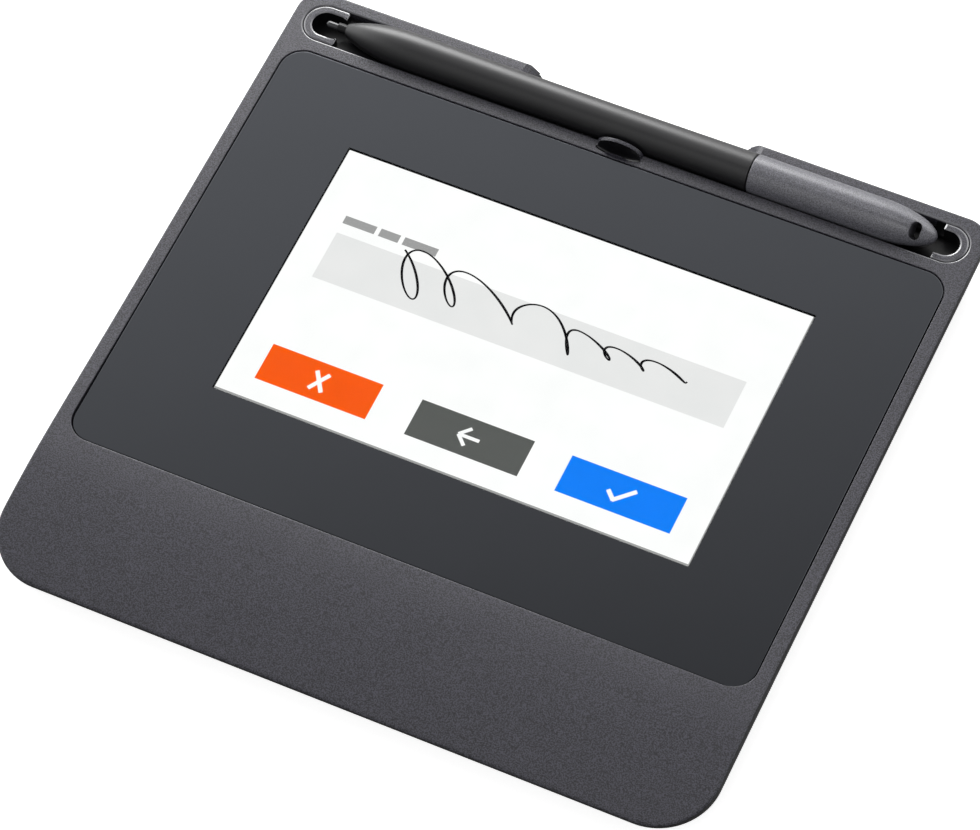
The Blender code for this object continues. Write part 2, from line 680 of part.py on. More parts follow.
def make_top_case():
    rings = [(RIM_WIDTH, level(SKIRT_Z)), (RIM_WIDTH, parting_height), (0, parting_height),
             (0, above(top_height, -EDGE_ROUND)), (EDGE_ROUND * 0.3, above(top_height, -EDGE_ROUND * 0.3)),
             (EDGE_ROUND, top_height)]
    case = ring_loft("top_case", rings)
    inner = RIM_WIDTH + SKIRT_THICKNESS
    palm_rear = GLASS_FRONT_Y - GLASS_GAP - PALM_WALL
    under_deck = plate("under_deck", rounded_rectangle((0, (palm_rear + BAY_FRONT_Y - PALM_WALL) / 2),
                                                       CASE_WIDTH - 2 * inner,
                                                       BAY_FRONT_Y - PALM_WALL - palm_rear, PALM_WALL, 3),
                       SKIRT_Z - OVERRUN, DECK_Z, "cutters")
    palm_front = FRONT_Y + inner * 2
    palm_end = palm_rear + FIT
    ceiling = side_sweep(palm_front, palm_end, top_height, -PALM_WALL)
    low = SKIRT_Z - OVERRUN
    under_palm = plate("under_palm", [(palm_end, low)] + ceiling[::-1] + [(palm_front, low)],
                       -CASE_WIDTH / 2 + inner + PALM_WALL, CASE_WIDTH / 2 - inner - PALM_WALL,
                       "cutters", ALONG_X)
    under_bay = plate("under_bay", bay_outline(FIT), SKIRT_Z - OVERRUN, TOP_Z + OVERRUN, "cutters")
    side_x = CASE_WIDTH / 2 - inner
    behind_bay = box("behind_bay", (-side_x, BAY_FRONT_Y - PALM_WALL - FIT, low),
                     (side_x, REAR_Y - inner + SKIRT_THICKNESS / 2, DECK_Z), "cutters")
    for cutter in (under_deck, under_palm, behind_bay):
        boolean(case, cutter)
    bake(case)
    case_bosses(case)
    boolean(case, thumb_nub(), "UNION")
    bake(case)
    recess = plate("glass_recess", glass_outline(GLASS_GAP), DECK_TOP_Z, TOP_Z + OVERRUN, "cutters")
    window = plate("window", rounded_rectangle((0, DISPLAY_Y), POCKET_WIDTH, POCKET_DEPTH, FIT, 2),
                   DECK_Z - FIT, DECK_TOP_Z + FIT, "cutters")
    gap = ear_gap_cutter("ear_gap", SKIRT_Z - OVERRUN)
    inlet = inlet_cutter("top_inlet", SOCKET_FACE_X + SOCKET_DEPTH)
    for cutter in (recess, window, under_bay, gap, inlet):
        boolean(case, cutter)
    bake(case)
    boss_holes(case)
    return finish(case, (0.075, 0.078, 0.085), 0.55, smooth=35)


def undercut_rings():
    """Outside of the bottom case, from its base up to the seam."""
    seam = above(parting_height, -SEAM)
    rings = [(UNDERCUT_START + UNDERCUT_INSET + BASE_ROUND, level(STAND_HEIGHT))]
    for step in range(UNDERCUT_STEPS + 1):
        share = (1 - step / UNDERCUT_STEPS) * UNDERCUT_SHARE
        inset = UNDERCUT_START + UNDERCUT_INSET * share ** UNDERCUT_POWER
        rings.append((inset, lambda y, share=share: seam(y) + (STAND_HEIGHT - seam(y)) * share))
    return rings


def hollow_rings():
    """Inside of the bottom case: one wall in from the undercut, then wider where the skirt fits."""
    seam, ledge = PARTING_Z - SEAM, SKIRT_Z - FIT
    rings = []
    for step in range(UNDERCUT_STEPS):
        height = FLOOR_Z + (ledge - FLOOR_Z) * step / (UNDERCUT_STEPS - 1)
        share = (seam - height) / (seam - STAND_HEIGHT)
        inset = UNDERCUT_START + UNDERCUT_INSET * share ** UNDERCUT_POWER + SHELL_WALL
        rings.append((inset, level(height)))
    rings.append((RIM_WIDTH - FIT, level(ledge)))
    rings.append((RIM_WIDTH - FIT, level(TOP_Z + OVERRUN)))
    return rings


def make_bottom_case():
    case = ring_loft("bottom_case", undercut_rings())
    hollow = ring_loft("bottom_hollow", hollow_rings(), "cutters")
    bake(boolean(case, hollow))
    for index, (x, y) in enumerate(case_screw_places()):
        column = cylinder(f"column_{index}", (x, y), COLUMN_RADIUS, FLOOR_Z - FIT,
                          SEAT_Z + DECK_THICKNESS, "cutters")
        boolean(case, column, "UNION")
    for index, (x, y) in enumerate(board_screw_places()):
        column = cylinder(f"board_column_{index}", (x, y), SMALL_BOSS_RADIUS, FLOOR_Z - FIT,
                          BOARD_Z - LAYER_GAP, "cutters")
        boolean(case, column, "UNION")
    bake(case)
    for index, (x, y) in enumerate(case_screw_places()):
        sink = cylinder(f"sink_{index}", (x, y), CASE_HEAD_RADIUS + FIT, STAND_HEIGHT - OVERRUN, SEAT_Z,
                        "cutters")
        hole = cylinder(f"case_hole_{index}", (x, y), CASE_SHANK_RADIUS + SCREW_CLEARANCE, STAND_HEIGHT,
                        SEAT_Z + OVERRUN, "cutters")
        boolean(case, sink)
        boolean(case, hole)
    for index, (x, y) in enumerate(board_screw_places()):
        hole = cylinder(f"board_hole_{index}", (x, y), SMALL_SHANK_RADIUS + SCREW_CLEARANCE,
                        BOARD_Z - BOARD_SCREW_REACH - FIT, BOARD_Z + OVERRUN, "cutters")
        boolean(case, hole)
    for index, (x, y) in enumerate(foot_places()):
        recess = cylinder(f"foot_recess_{index}", (x, y), FOOT_RADIUS + FIT, STAND_HEIGHT - OVERRUN,
                          STAND_HEIGHT + FOOT_RECESS, "cutters", FOOT_SIDES)
        boolean(case, recess)
    boolean(case, ear_gap_cutter("lower_ear_gap", TOP_Z - EAR_GAP_DEPTH))
    boolean(case, inlet_cutter("lower_inlet", SOCKET_FACE_X + SOCKET_DEPTH))
    bake(case)
    return finish(case, (0.028, 0.028, 0.03), 0.6, smooth=35)


def barrel_radius(along):
    """Outer radius of the pen's barrel: an ogive nose, then a slight waist."""
    if along < NOSE_LENGTH:
        share = 1 - (1 - along / NOSE_LENGTH) ** NOSE_POWER
        return NOSE_RADIUS + (PEN_RADIUS - NOSE_RADIUS) * share
    share = (along - NOSE_LENGTH) / (BARREL_LENGTH - NOSE_LENGTH)
    return PEN_RADIUS - WAIST_DROP * math.sin(math.pi * share)


def tail_radius(share):
    """Radius along the tail, from 0 at the full cap to 1 at its end."""
    return PEN_RADIUS * math.sqrt(max(0, 1 - share * share))


def make_barrel():
    shares = [step / NOSE_STEPS for step in range(NOSE_STEPS + 1)]
    nose = [(NOSE_LENGTH * share ** 1.5, barrel_radius(NOSE_LENGTH * share ** 1.5)) for share in shares]
    waist = [NOSE_LENGTH + (BARREL_LENGTH - NOSE_LENGTH) * step / 6 for step in range(1, 7)]
    outer = nose + [(along, barrel_radius(along)) for along in waist]
    spigot = PEN_RADIUS - PEN_WALL - FIT
    end = BARREL_LENGTH + SPIGOT_LENGTH
    core = NIB_RADIUS + SCREW_CLEARANCE + CORE_WALL
    inner = [(BARREL_LENGTH, spigot), (end, spigot), (end, spigot - SPIGOT_WALL),
             (BARREL_LENGTH - SPIGOT_LENGTH, spigot - SPIGOT_WALL),
             (BARREL_LENGTH - 2 * SPIGOT_LENGTH, PEN_BORE), (CORE_START * 2, PEN_BORE),
             (CORE_START, core + FIT), (NOSE_BORE_LENGTH, NOSE_BORE), (0, NOSE_BORE)]
    barrel = turned("pen_barrel", outer + inner, NOSE_X)
    return finish(barrel, (0.02, 0.02, 0.023), 0.38, smooth=40)


def make_cap():
    start = BARREL_LENGTH + SEAM
    body = PEN_LENGTH - TAIL_LENGTH
    sines = [math.sin(math.pi / 2 * step / TAIL_STEPS) for step in range(TAIL_STEPS)]
    tail = [(body + TAIL_LENGTH * share, tail_radius(share)) for share in sines]
    solid = PEN_LENGTH - TAIL_SOLID
    profile = [(PEN_LENGTH, 0)] + tail[::-1] + [(start, PEN_RADIUS), (start, 0)]
    bore = PEN_RADIUS - PEN_WALL
    cap = turned("pen_cap", profile, NOSE_X)
    hollow = turned("cap_bore", [(solid, 0), (solid, bore), (start - OVERRUN, bore), (start - OVERRUN, 0)],
                    NOSE_X, "cutters")
    eye_x = NOSE_X + PEN_LENGTH - EYE_FROM_TAIL
    eye = plate("tether_eye", rounded_rectangle((0, 0), EYE_LENGTH, EYE_HEIGHT, EYE_LENGTH / 2 - MERGE, 4),
                -PEN_RADIUS * 2, PEN_RADIUS * 2, "cutters")
    eye.data.transform(Matrix.Translation((eye_x, PEN_Y, PEN_Z)) @ Matrix.Rotation(EYE_TILT, 4, "X"))
    boolean(cap, hollow)
    boolean(cap, eye)
    bake(cap)
    return finish(cap, (0.05, 0.05, 0.055), 0.3, smooth=40)


def tube(name, start, length, inner, outer, colour, roughness, metallic=0.0, sides=20):
    end = start + length
    profile = [(start, outer), (end, outer), (end, inner), (start, inner)]
    item = turned(name, profile, NOSE_X, sides=sides)
    return finish(item, colour, roughness, metallic, smooth=40)


def make_pen_insides():
    collar = NIB_RADIUS + SCREW_CLEARANCE / 2
    tube("nib_collar", -COLLAR_REACH, COLLAR_LENGTH, collar, collar + COLLAR_WALL, (0.03, 0.03, 0.03), 0.25)
    core = NIB_RADIUS + SCREW_CLEARANCE
    tube("ferrite_core", CORE_START, CORE_LENGTH, core, core + CORE_WALL, (0.05, 0.045, 0.045), 0.5)
    coil = core + CORE_WALL + LAYER_GAP
    tube("coil", COIL_START, COIL_LENGTH, coil, coil + COIL_WALL, (0.55, 0.2, 0.07), 0.35, 0.9)
    bore = PEN_BORE
    holder_start = CORE_START + CORE_LENGTH + FIT
    sensor_start = NIB_LENGTH - NIB_REACH + NIB_TRAVEL + FIT
    holder_length = sensor_start - FIT - holder_start
    tube("core_holder", holder_start, holder_length, core, bore - LAYER_GAP, (0.6, 0.6, 0.58), 0.5)
    start = NOSE_X + sensor_start
    body = turned("pressure_sensor", [(0, 0), (0, bore - LAYER_GAP), (SENSOR_LENGTH, bore - LAYER_GAP),
                                      (SENSOR_LENGTH, 0)], start, sides=20)
    finish(body, (0.12, 0.12, 0.13), 0.45, smooth=40)
    board_x = start + SENSOR_LENGTH + FIT
    length = BARREL_LENGTH - 2 * SPIGOT_LENGTH - PEN_BOARD_END_GAP - (board_x - NOSE_X)
    half = PEN_BOARD_WIDTH / 2
    low = (board_x, PEN_Y - half, PEN_Z - PEN_BOARD_THICKNESS / 2)
    high = (board_x + length, PEN_Y + half, PEN_Z + PEN_BOARD_THICKNESS / 2)
    finish(box("pen_board", low, high), (0.02, 0.16, 0.07), 0.4)


def make_nib():
    tip = NIB_RADIUS
    angles = [math.pi / 2 * step / 4 for step in range(5)]
    rounded = [(-NIB_REACH + tip * (1 - math.cos(angle)), tip * math.sin(angle)) for angle in angles]
    end = NIB_LENGTH - NIB_REACH
    nib = turned("nib", rounded + [(end, NIB_RADIUS), (end, 0)], NOSE_X, sides=16)
    return finish(nib, (0.6, 0.6, 0.6), 0.35, smooth=50)


def make_tray():
    """Tray under the pen: a lip round each end and a cradle that follows the pen between them."""
    shell = PEN_RADIUS + FIT + TRAY_FLOOR
    half = BAY_WIDTH / 2 - SEAM / 2
    last = math.asin(half / shell)
    levels = []
    for step in range(1, TRAY_STEPS + 1):
        angle = last * step / TRAY_STEPS
        levels.append((bay_outline(shell * math.sin(angle) - BAY_WIDTH / 2), PEN_Z - shell * math.cos(angle)))
    levels.append((bay_outline(half - BAY_WIDTH / 2), TRAY_TOP_Z))
    tray = outline_loft("pen_tray", levels)
    for index, (x, y) in enumerate(tray_screw_places()):
        half = TRAY_TAB_LENGTH / 2
        tab = box(f"tray_tab_{index}", (x - half, BAY_FRONT_Y - TRAY_TAB_REACH, TRAY_BASE_Z),
                  (x + half, PEN_Y, TRAY_TAB_Z), "cutters")
        boolean(tray, tab, "UNION")
    bake(tray)
    shares = [step / NOSE_STEPS for step in range(NOSE_STEPS + 1)]
    nose = [(NOSE_LENGTH * share, barrel_radius(NOSE_LENGTH * share) + FIT) for share in shares]
    end = BAY_BEFORE_NOSE + NIB_REACH
    full = PEN_RADIUS + FIT
    profile = [(-NIB_REACH, 0), (-NIB_REACH, nose[0][1])] + nose
    profile += [(PEN_LENGTH + FIT, full), (PEN_LENGTH + FIT, 0)]
    cradle = turned("cradle", profile, NOSE_X, "cutters", 32)
    boolean(tray, cradle)
    lip_left = -BAY_LENGTH / 2 + LIP_LENGTH
    lip_right = BAY_LENGTH / 2 - LIP_LENGTH
    clear = box("tray_clear", (lip_left, BAY_FRONT_Y - OVERRUN, TRAY_WALL_Z),
                (lip_right, REAR_Y + OVERRUN, TOP_Z + OVERRUN), "cutters")
    boolean(tray, clear)
    half_width = BAY_WIDTH / 2 - LIP_WIDTH
    for side, reach in ((-1, end - LIP_END_WIDTH), (1, BAY_AFTER_TAIL + TAIL_LENGTH - LIP_END_WIDTH)):
        outer = side * (BAY_LENGTH / 2 - LIP_END_WIDTH)
        inner = outer - side * (reach - LIP_BEVEL)
        centre = ((outer + inner) / 2, PEN_Y)
        levels = []
        for grow, height in ((0, TRAY_BASE_Z + TRAY_FLOOR), (0, TRAY_TOP_Z - LIP_BEVEL),
                             (LIP_BEVEL, TRAY_TOP_Z),
                             (LIP_BEVEL, TOP_Z + OVERRUN)):
            radius = half_width + grow
            outline = rounded_rectangle(centre, abs(outer - inner) + 2 * grow, 2 * radius, radius - MERGE)
            levels.append((outline, height))
        boolean(tray, outline_loft(f"end_pocket_{side}", levels, "cutters"))
    for index, (x, y) in enumerate(tray_screw_places()):
        hole = cylinder(f"tray_hole_{index}", (x, y), SMALL_SHANK_RADIUS + SCREW_CLEARANCE,
                        TRAY_BASE_Z - OVERRUN, TRAY_TAB_Z + OVERRUN / 2, "cutters")
        boolean(tray, hole)
    bake(tray)
    return finish(tray, (0.06, 0.062, 0.068), 0.5, smooth=35)


def make_glass():
    glass = plate("cover_glass", glass_outline(0), TOP_Z - GLASS_THICKNESS, TOP_Z)
    finish(glass, (0.05, 0.05, 0.055), 0.15)
    low = DECK_TOP_Z + LAYER_GAP
    outer = rounded_rectangle((0, GLASS_Y), GLASS_WIDTH, GLASS_DEPTH, GLASS_CORNER)
    inner = rounded_rectangle((0, GLASS_Y), GLASS_WIDTH - 2 * TAPE_WIDTH, GLASS_DEPTH - 2 * TAPE_WIDTH,
                              TAPE_WIDTH / 2)
    tape = plate("glass_tape", [outer, inner[::-1]], low, low + TAPE_THICKNESS)
    finish(tape, (0.02, 0.02, 0.02), 0.7)


def display_plate(name, width, depth, low, high, colour, roughness, metallic=0.0):
    half_x, half_y = width / 2, depth / 2
    item = box(name, (-half_x, DISPLAY_Y - half_y, low), (half_x, DISPLAY_Y + half_y, high))
    return finish(item, colour, roughness, metallic)


def make_display():
    inset = FRAME_SHEET + SEAM
    width, depth = MODULE_WIDTH - 2 * inset, MODULE_DEPTH - 2 * inset
    display_plate("display_panel", width, depth, PANEL_Z, PANEL_TOP_Z, (0.8, 0.8, 0.8), 0.2)
    display_plate("backlight", width, depth, BACKLIGHT_Z, BACKLIGHT_Z + BACKLIGHT_THICKNESS,
                  (0.85, 0.85, 0.85), 0.5)
    display_plate("sensor_board", MODULE_WIDTH, MODULE_DEPTH, SENSOR_BOARD_Z,
                  SENSOR_BOARD_Z + SENSOR_BOARD_THICKNESS, (0.02, 0.18, 0.08), 0.4)
    display_plate("shield_plate", MODULE_WIDTH, MODULE_DEPTH, SHIELD_Z, SHIELD_Z + SHIELD_THICKNESS,
                  (0.6, 0.6, 0.62), 0.35, 1.0)
    frame = box("display_frame", (-MODULE_WIDTH / 2, DISPLAY_Y - MODULE_DEPTH / 2, BACKLIGHT_Z),
                (MODULE_WIDTH / 2, DISPLAY_Y + MODULE_DEPTH / 2, FRAME_TOP_Z))
    inner_x, inner_y = MODULE_WIDTH / 2 - FRAME_SHEET, MODULE_DEPTH / 2 - FRAME_SHEET
    hollow = box("frame_hollow", (-inner_x, DISPLAY_Y - inner_y, BACKLIGHT_Z - OVERRUN),
                 (inner_x, DISPLAY_Y + inner_y, FRAME_TOP_Z - FRAME_SHEET), "cutters")
    mouth = box("frame_mouth", (-WINDOW_WIDTH / 2, DISPLAY_Y - WINDOW_DEPTH / 2, BACKLIGHT_Z),
                (WINDOW_WIDTH / 2, DISPLAY_Y + WINDOW_DEPTH / 2, FRAME_TOP_Z + OVERRUN), "cutters")
    boolean(frame, hollow)
    boolean(frame, mouth)
    finish(bake(frame), (0.55, 0.55, 0.57), 0.35, 1.0)


def make_holder():
    half_x, half_y = HOLDER_WIDTH / 2, HOLDER_DEPTH / 2
    holder = box("display_holder", (-half_x, DISPLAY_Y - half_y, HOLDER_Z),
                 (half_x, DISPLAY_Y + half_y, HOLDER_TOP_Z))
    pocket = box("holder_pocket", (-POCKET_WIDTH / 2, DISPLAY_Y - POCKET_DEPTH / 2, HOLDER_Z + HOLDER_FLOOR),
                 (POCKET_WIDTH / 2, DISPLAY_Y + POCKET_DEPTH / 2, TOP_Z), "cutters")
    for index, (x, y) in enumerate(holder_screw_places()):
        side = 1 if y > DISPLAY_Y else -1
        root = DISPLAY_Y + side * (half_y - HOLDER_WALL / 2)
        end = DISPLAY_Y + side * (half_y + HOLDER_EAR_REACH)
        half = HOLDER_EAR_LENGTH / 2
        ear = box(f"holder_ear_{index}", (x - half, min(root, end), HOLDER_EAR_Z),
                  (x + half, max(root, end), HOLDER_EAR_Z + HOLDER_EAR_THICKNESS), "cutters")
        boolean(holder, ear, "UNION")
    bake(holder)
    boolean(holder, pocket)
    for index, (x, y) in enumerate(holder_screw_places()):
        hole = cylinder(f"ear_hole_{index}", (x, y), SMALL_SHANK_RADIUS + SCREW_CLEARANCE,
                        HOLDER_Z - OVERRUN, TOP_Z, "cutters")
        boolean(holder, hole)
    for name, x, width in (("display", CONNECTOR_X, DISPLAY_CONNECTOR_WIDTH),
                           ("sensor", -CONNECTOR_X, SENSOR_CONNECTOR_WIDTH)):
        notch = box(f"{name}_notch", (x - width / 2, HOLDER_FRONT_Y - OVERRUN, HOLDER_Z + NOTCH_RISE),
                    (x + width / 2, HOLDER_FRONT_Y + HOLDER_WALL + FIT / 2, TOP_Z), "cutters")
        boolean(holder, notch)
    finish(bake(holder), (0.04, 0.04, 0.042), 0.55)


def make_board():
    left, right = -BOARD_WIDTH / 2, BOARD_WIDTH / 2
    bend = BOARD_REAR_Y - ARM_WIDTH
    outline = [(left, BOARD_FRONT_Y), (right, BOARD_FRONT_Y), (right, BOARD_REAR_Y),
               (ARM_RIGHT_X, BOARD_REAR_Y), (ARM_RIGHT_X, ARM_REAR_Y), (ARM_LEFT_X, ARM_REAR_Y),
               (ARM_LEFT_X, bend), (left, bend)]
    board = plate("main_board", outline, BOARD_Z, BOARD_TOP_Z)
    for index, (x, y) in enumerate(board_screw_places()):
        hole = cylinder(f"board_through_{index}", (x, y), SMALL_SHANK_RADIUS + SCREW_CLEARANCE,
                        BOARD_Z - OVERRUN, BOARD_TOP_Z + OVERRUN, "cutters")
        boolean(board, hole)
    return finish(bake(board), (0.02, 0.16, 0.07), 0.4)


def chip(name, centre, width, depth):
    """Chip body with a row of legs along two sides, made as one piece."""
    x, y = centre
    item = box(name, (x - width / 2, y - depth / 2, PART_Z),
               (x + width / 2, y + depth / 2, PART_Z + CHIP_HEIGHT))
    legs = box(name + "_legs", (x - width / 2 - PIN_REACH, y - depth / 2 + PIN_REACH, PART_Z),
               (x + width / 2 + PIN_REACH, y + depth / 2 - PIN_REACH, PART_Z + PIN_HEIGHT), "cutters")
    boolean(item, legs, "UNION")
    return finish(bake(item), (0.02, 0.02, 0.022), 0.5)


def make_board_parts():
    middle = CONNECTOR_Y - CONNECTOR_DEPTH / 2 - CHIP_TO_CONNECTOR - CHIP_SIZE / 2
    chip("processor", (CHIP_SIZE, middle), CHIP_SIZE, CHIP_SIZE)
    chip("sensor_controller", (-CHIP_SIZE, middle), CONTROLLER_SIZE, CONTROLLER_SIZE)
    chip("memory_chip", (MEMORY_X, middle), MEMORY_WIDTH, MEMORY_DEPTH)
    for name, x, width, top in (("display", CONNECTOR_X, DISPLAY_CONNECTOR_WIDTH, BACKLIGHT_Z + FIT),
                                ("sensor", -CONNECTOR_X, SENSOR_CONNECTOR_WIDTH, SENSOR_BOARD_Z)):
        half_x, half_y = width / 2, CONNECTOR_DEPTH / 2
        plug = box(f"{name}_connector", (x - half_x, CONNECTOR_Y - half_y, PART_Z),
                   (x + half_x, CONNECTOR_Y + half_y, PART_Z + CONNECTOR_HEIGHT))
        finish(plug, (0.75, 0.73, 0.68), 0.45)
        make_flex(name, x, width, top)


def make_flex(name, x, width, start_z):
    """Flat cable from the display's front edge, through the holder's notch, down to its connector."""
    start_y = DISPLAY_Y - MODULE_DEPTH / 2 - FIT
    end_y = CONNECTOR_Y + CONNECTOR_DEPTH / 2 + FIT
    end_z = PART_Z + CONNECTOR_HEIGHT / 2
    lower = []
    for step in range(7):
        share = step / 6
        blend = share * share * (3 - 2 * share)
        lower.append((start_y + (end_y - start_y) * share, start_z + (end_z - start_z) * blend))
    upper = [(y, z + FLEX_THICKNESS) for y, z in lower[::-1]]
    half = width / 2 - FLEX_MARGIN
    flex = plate(f"{name}_flex", lower + upper, x - half, x + half, turn=ALONG_X)
    return finish(flex, (0.45, 0.2, 0.05), 0.4)


def make_socket():
    centre = (SOCKET_Y, PART_Z + SOCKET_HEIGHT / 2)
    outer = rounded_rectangle(centre, SOCKET_WIDTH, SOCKET_HEIGHT, SOCKET_HEIGHT / 5, 3)
    inner = rounded_rectangle(centre, SOCKET_WIDTH - 2 * SOCKET_SHEET, SOCKET_HEIGHT - 2 * SOCKET_SHEET,
                              SOCKET_HEIGHT / 5 - SOCKET_SHEET / 2, 3)
    end_x = SOCKET_FACE_X + SOCKET_DEPTH
    shell = plate("usb_socket", outer, SOCKET_FACE_X, end_x, turn=ALONG_X)
    hollow = plate("socket_hollow", inner, SOCKET_FACE_X - OVERRUN, end_x - SOCKET_SHEET, "cutters", ALONG_X)
    finish(bake(boolean(shell, hollow)), (0.62, 0.62, 0.64), 0.25, 1.0)
    half = TONGUE_WIDTH / 2
    middle = PART_Z + SOCKET_HEIGHT / 2
    tongue = box("usb_tongue", (SOCKET_FACE_X + SOCKET_SHEET, SOCKET_Y - half, middle - TONGUE_HEIGHT / 2),
                 (end_x - SOCKET_SHEET - SEAM, SOCKET_Y + half, middle + TONGUE_HEIGHT / 2))
    finish(tongue, (0.03, 0.03, 0.03), 0.5)


def make_screw(name, place, under_head, head, shank, reach, points_up, cross):
    """Pan screw: its head's seat is at under_head, and its shank points up or down."""
    radius, height = head
    side = 1 if points_up else -1
    head_far = under_head - side * height
    tip = under_head + side * reach
    item = cylinder(name, place, radius, min(under_head, head_far), max(under_head, head_far))
    stem = cylinder(name + "_shank", place, shank, min(head_far + side * height / 2, tip),
                    max(head_far + side * height / 2, tip), "cutters")
    boolean(item, stem, "UNION")
    bake(item)
    half, width = cross / 2, CROSS_WIDTH / 2
    low, high = sorted((head_far - side * OVERRUN, head_far + side * CROSS_DEPTH))
    x, y = place
    for index, (reach_x, reach_y) in enumerate(((half, width), (width, half))):
        slot = box(f"{name}_slot_{index}", (x - reach_x, y - reach_y, low),
                   (x + reach_x, y + reach_y, high), "cutters")
        boolean(item, slot)
    return finish(bake(item), (0.25, 0.25, 0.26), 0.35, 1.0, smooth=40)


def make_screws():
    case_head = (CASE_HEAD_RADIUS, CASE_HEAD_HEIGHT - FIT)
    for index, place in enumerate(case_screw_places(), 1):
        make_screw(f"case_screw_{index}", place, SEAT_Z - CASE_HEAD_SINK, case_head, CASE_SHANK_RADIUS,
                   CASE_SCREW_REACH, True, CROSS_LENGTH)
    small_head = (SMALL_HEAD_RADIUS, SMALL_HEAD_HEIGHT)
    for index, place in enumerate(holder_screw_places(), 1):
        make_screw(f"holder_screw_{index}", place, HOLDER_EAR_Z - SEAM, small_head, SMALL_SHANK_RADIUS,
                   HOLDER_EAR_THICKNESS + HOLDER_SCREW_REACH, True, SMALL_CROSS_LENGTH)
    for index, place in enumerate(tray_screw_places(), 1):
        make_screw(f"tray_screw_{index}", place, TRAY_BASE_Z - SEAM, small_head, SMALL_SHANK_RADIUS,
                   TRAY_FLOOR + HOLDER_SCREW_REACH, True, SMALL_CROSS_LENGTH)
    for index, place in enumerate(board_screw_places(), 1):
        make_screw(f"board_screw_{index}", place, BOARD_TOP_Z + LAYER_GAP, small_head, SMALL_SHANK_RADIUS,
                   BOARD_THICKNESS + BOARD_SCREW_REACH, False, SMALL_CROSS_LENGTH)


def make_feet():
    for index, (x, y) in enumerate(foot_places(), 1):
        foot = cylinder(f"foot_{index}", (x, y), FOOT_RADIUS, 0, FOOT_HEIGHT, sides=FOOT_SIDES)
        bevel = foot.modifiers.new("round", "BEVEL")
        bevel.width = FOOT_ROUND
        bevel.segments = 1
        bevel.limit_method = "ANGLE"
        finish(bake(foot), (0.012, 0.012, 0.012), 0.8, smooth=40)


def place_origin(item, point):
    """Move the object's origin to point without moving its shape."""
    item.data.transform(Matrix.Translation(-Vector(point)))
    item.location = point


def set_joints():
    """Empties on the two sliding axes carry the pen and its nib."""
    rest = bpy.data.objects.new("pen_lift_axis", None)
    rest.location = (NOSE_X + PEN_LENGTH / 2, PEN_Y, PEN_Z)
    press = bpy.data.objects.new("nib_press_axis", None)
    press.location = (-PEN_LENGTH / 2 - NIB_REACH, 0, 0)
    press.parent = rest
    for empty in (rest, press):
        PAD["parts"].objects.link(empty)
    bpy.context.view_layer.update()
    for name in ("pen_barrel", "pen_cap", "nib_collar", "ferrite_core", "coil", "core_holder",
                 "pressure_sensor", "pen_board"):
        piece = PAD["parts"].objects[name]
        place_origin(piece, rest.matrix_world.translation)
        piece.location = (0, 0, 0)
        piece.parent = rest
    nib = PAD["parts"].objects["nib"]
    place_origin(nib, press.matrix_world.translation)
    nib.location = (0, 0, 0)
    nib.parent = press


def main():
    clear_scene()
    PAD["parts"] = new_collection("signature_pad")
    PAD["cutters"] = new_collection("cutters")
    make_top_case()
    make_bottom_case()
    make_tray()
    make_glass()
    make_display()
    make_holder()
    make_board()
    make_board_parts()
    make_socket()
    make_screws()
    make_feet()
    make_barrel()
    make_cap()
    make_pen_insides()
    make_nib()
    set_joints()


main()
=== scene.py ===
import json
import math
import bmesh
import bpy
from mathutils import Matrix, Vector

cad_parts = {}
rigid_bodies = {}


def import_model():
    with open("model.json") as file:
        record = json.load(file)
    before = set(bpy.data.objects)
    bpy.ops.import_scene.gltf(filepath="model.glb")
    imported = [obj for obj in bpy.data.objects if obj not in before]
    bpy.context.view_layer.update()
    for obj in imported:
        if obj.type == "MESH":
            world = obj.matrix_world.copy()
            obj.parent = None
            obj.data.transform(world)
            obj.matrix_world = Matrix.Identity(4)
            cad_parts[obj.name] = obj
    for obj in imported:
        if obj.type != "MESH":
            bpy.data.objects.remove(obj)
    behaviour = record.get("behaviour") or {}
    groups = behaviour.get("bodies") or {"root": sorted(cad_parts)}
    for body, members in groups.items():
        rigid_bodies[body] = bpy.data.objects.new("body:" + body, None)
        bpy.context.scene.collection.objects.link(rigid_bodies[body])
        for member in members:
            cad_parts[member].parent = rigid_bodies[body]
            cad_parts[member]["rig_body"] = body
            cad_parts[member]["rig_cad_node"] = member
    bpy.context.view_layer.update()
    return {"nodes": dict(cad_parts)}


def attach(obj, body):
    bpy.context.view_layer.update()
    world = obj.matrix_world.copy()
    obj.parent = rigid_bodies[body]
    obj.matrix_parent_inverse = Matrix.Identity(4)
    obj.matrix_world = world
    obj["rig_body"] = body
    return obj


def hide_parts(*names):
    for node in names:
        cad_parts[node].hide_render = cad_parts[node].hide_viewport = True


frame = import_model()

MM = 0.001
# How near two places are when they count as one, and what keeps the points of a full round apart
HAIR = 0.01 * MM
# Points nearer than this become one, after cuts and in a copy of a node. Thinner faces go
WELD, NODE_WELD, SLIVER = 0.002 * MM, 0.001 * MM, 0.004 * MM

# Sizes of the case, in the part's own frame
CASE_WIDTH, FRONT_Y, REAR_Y = 161.2 * MM, -78 * MM, 78 * MM
TOP_Z, PARTING_Z, DECK_Z = 10.5 * MM, 8.1 * MM, 8.9 * MM
GLASS_WIDTH, GLASS_DEPTH, GLASS_Y = 154.35 * MM, 106.5 * MM, 9 * MM
GLASS_CORNER, GLASS_GAP, GLASS_THICKNESS = 5.2 * MM, 0.25 * MM, 1.1 * MM
LIT_Y, PANEL_TOP_Z = 11.6 * MM, 8.35 * MM

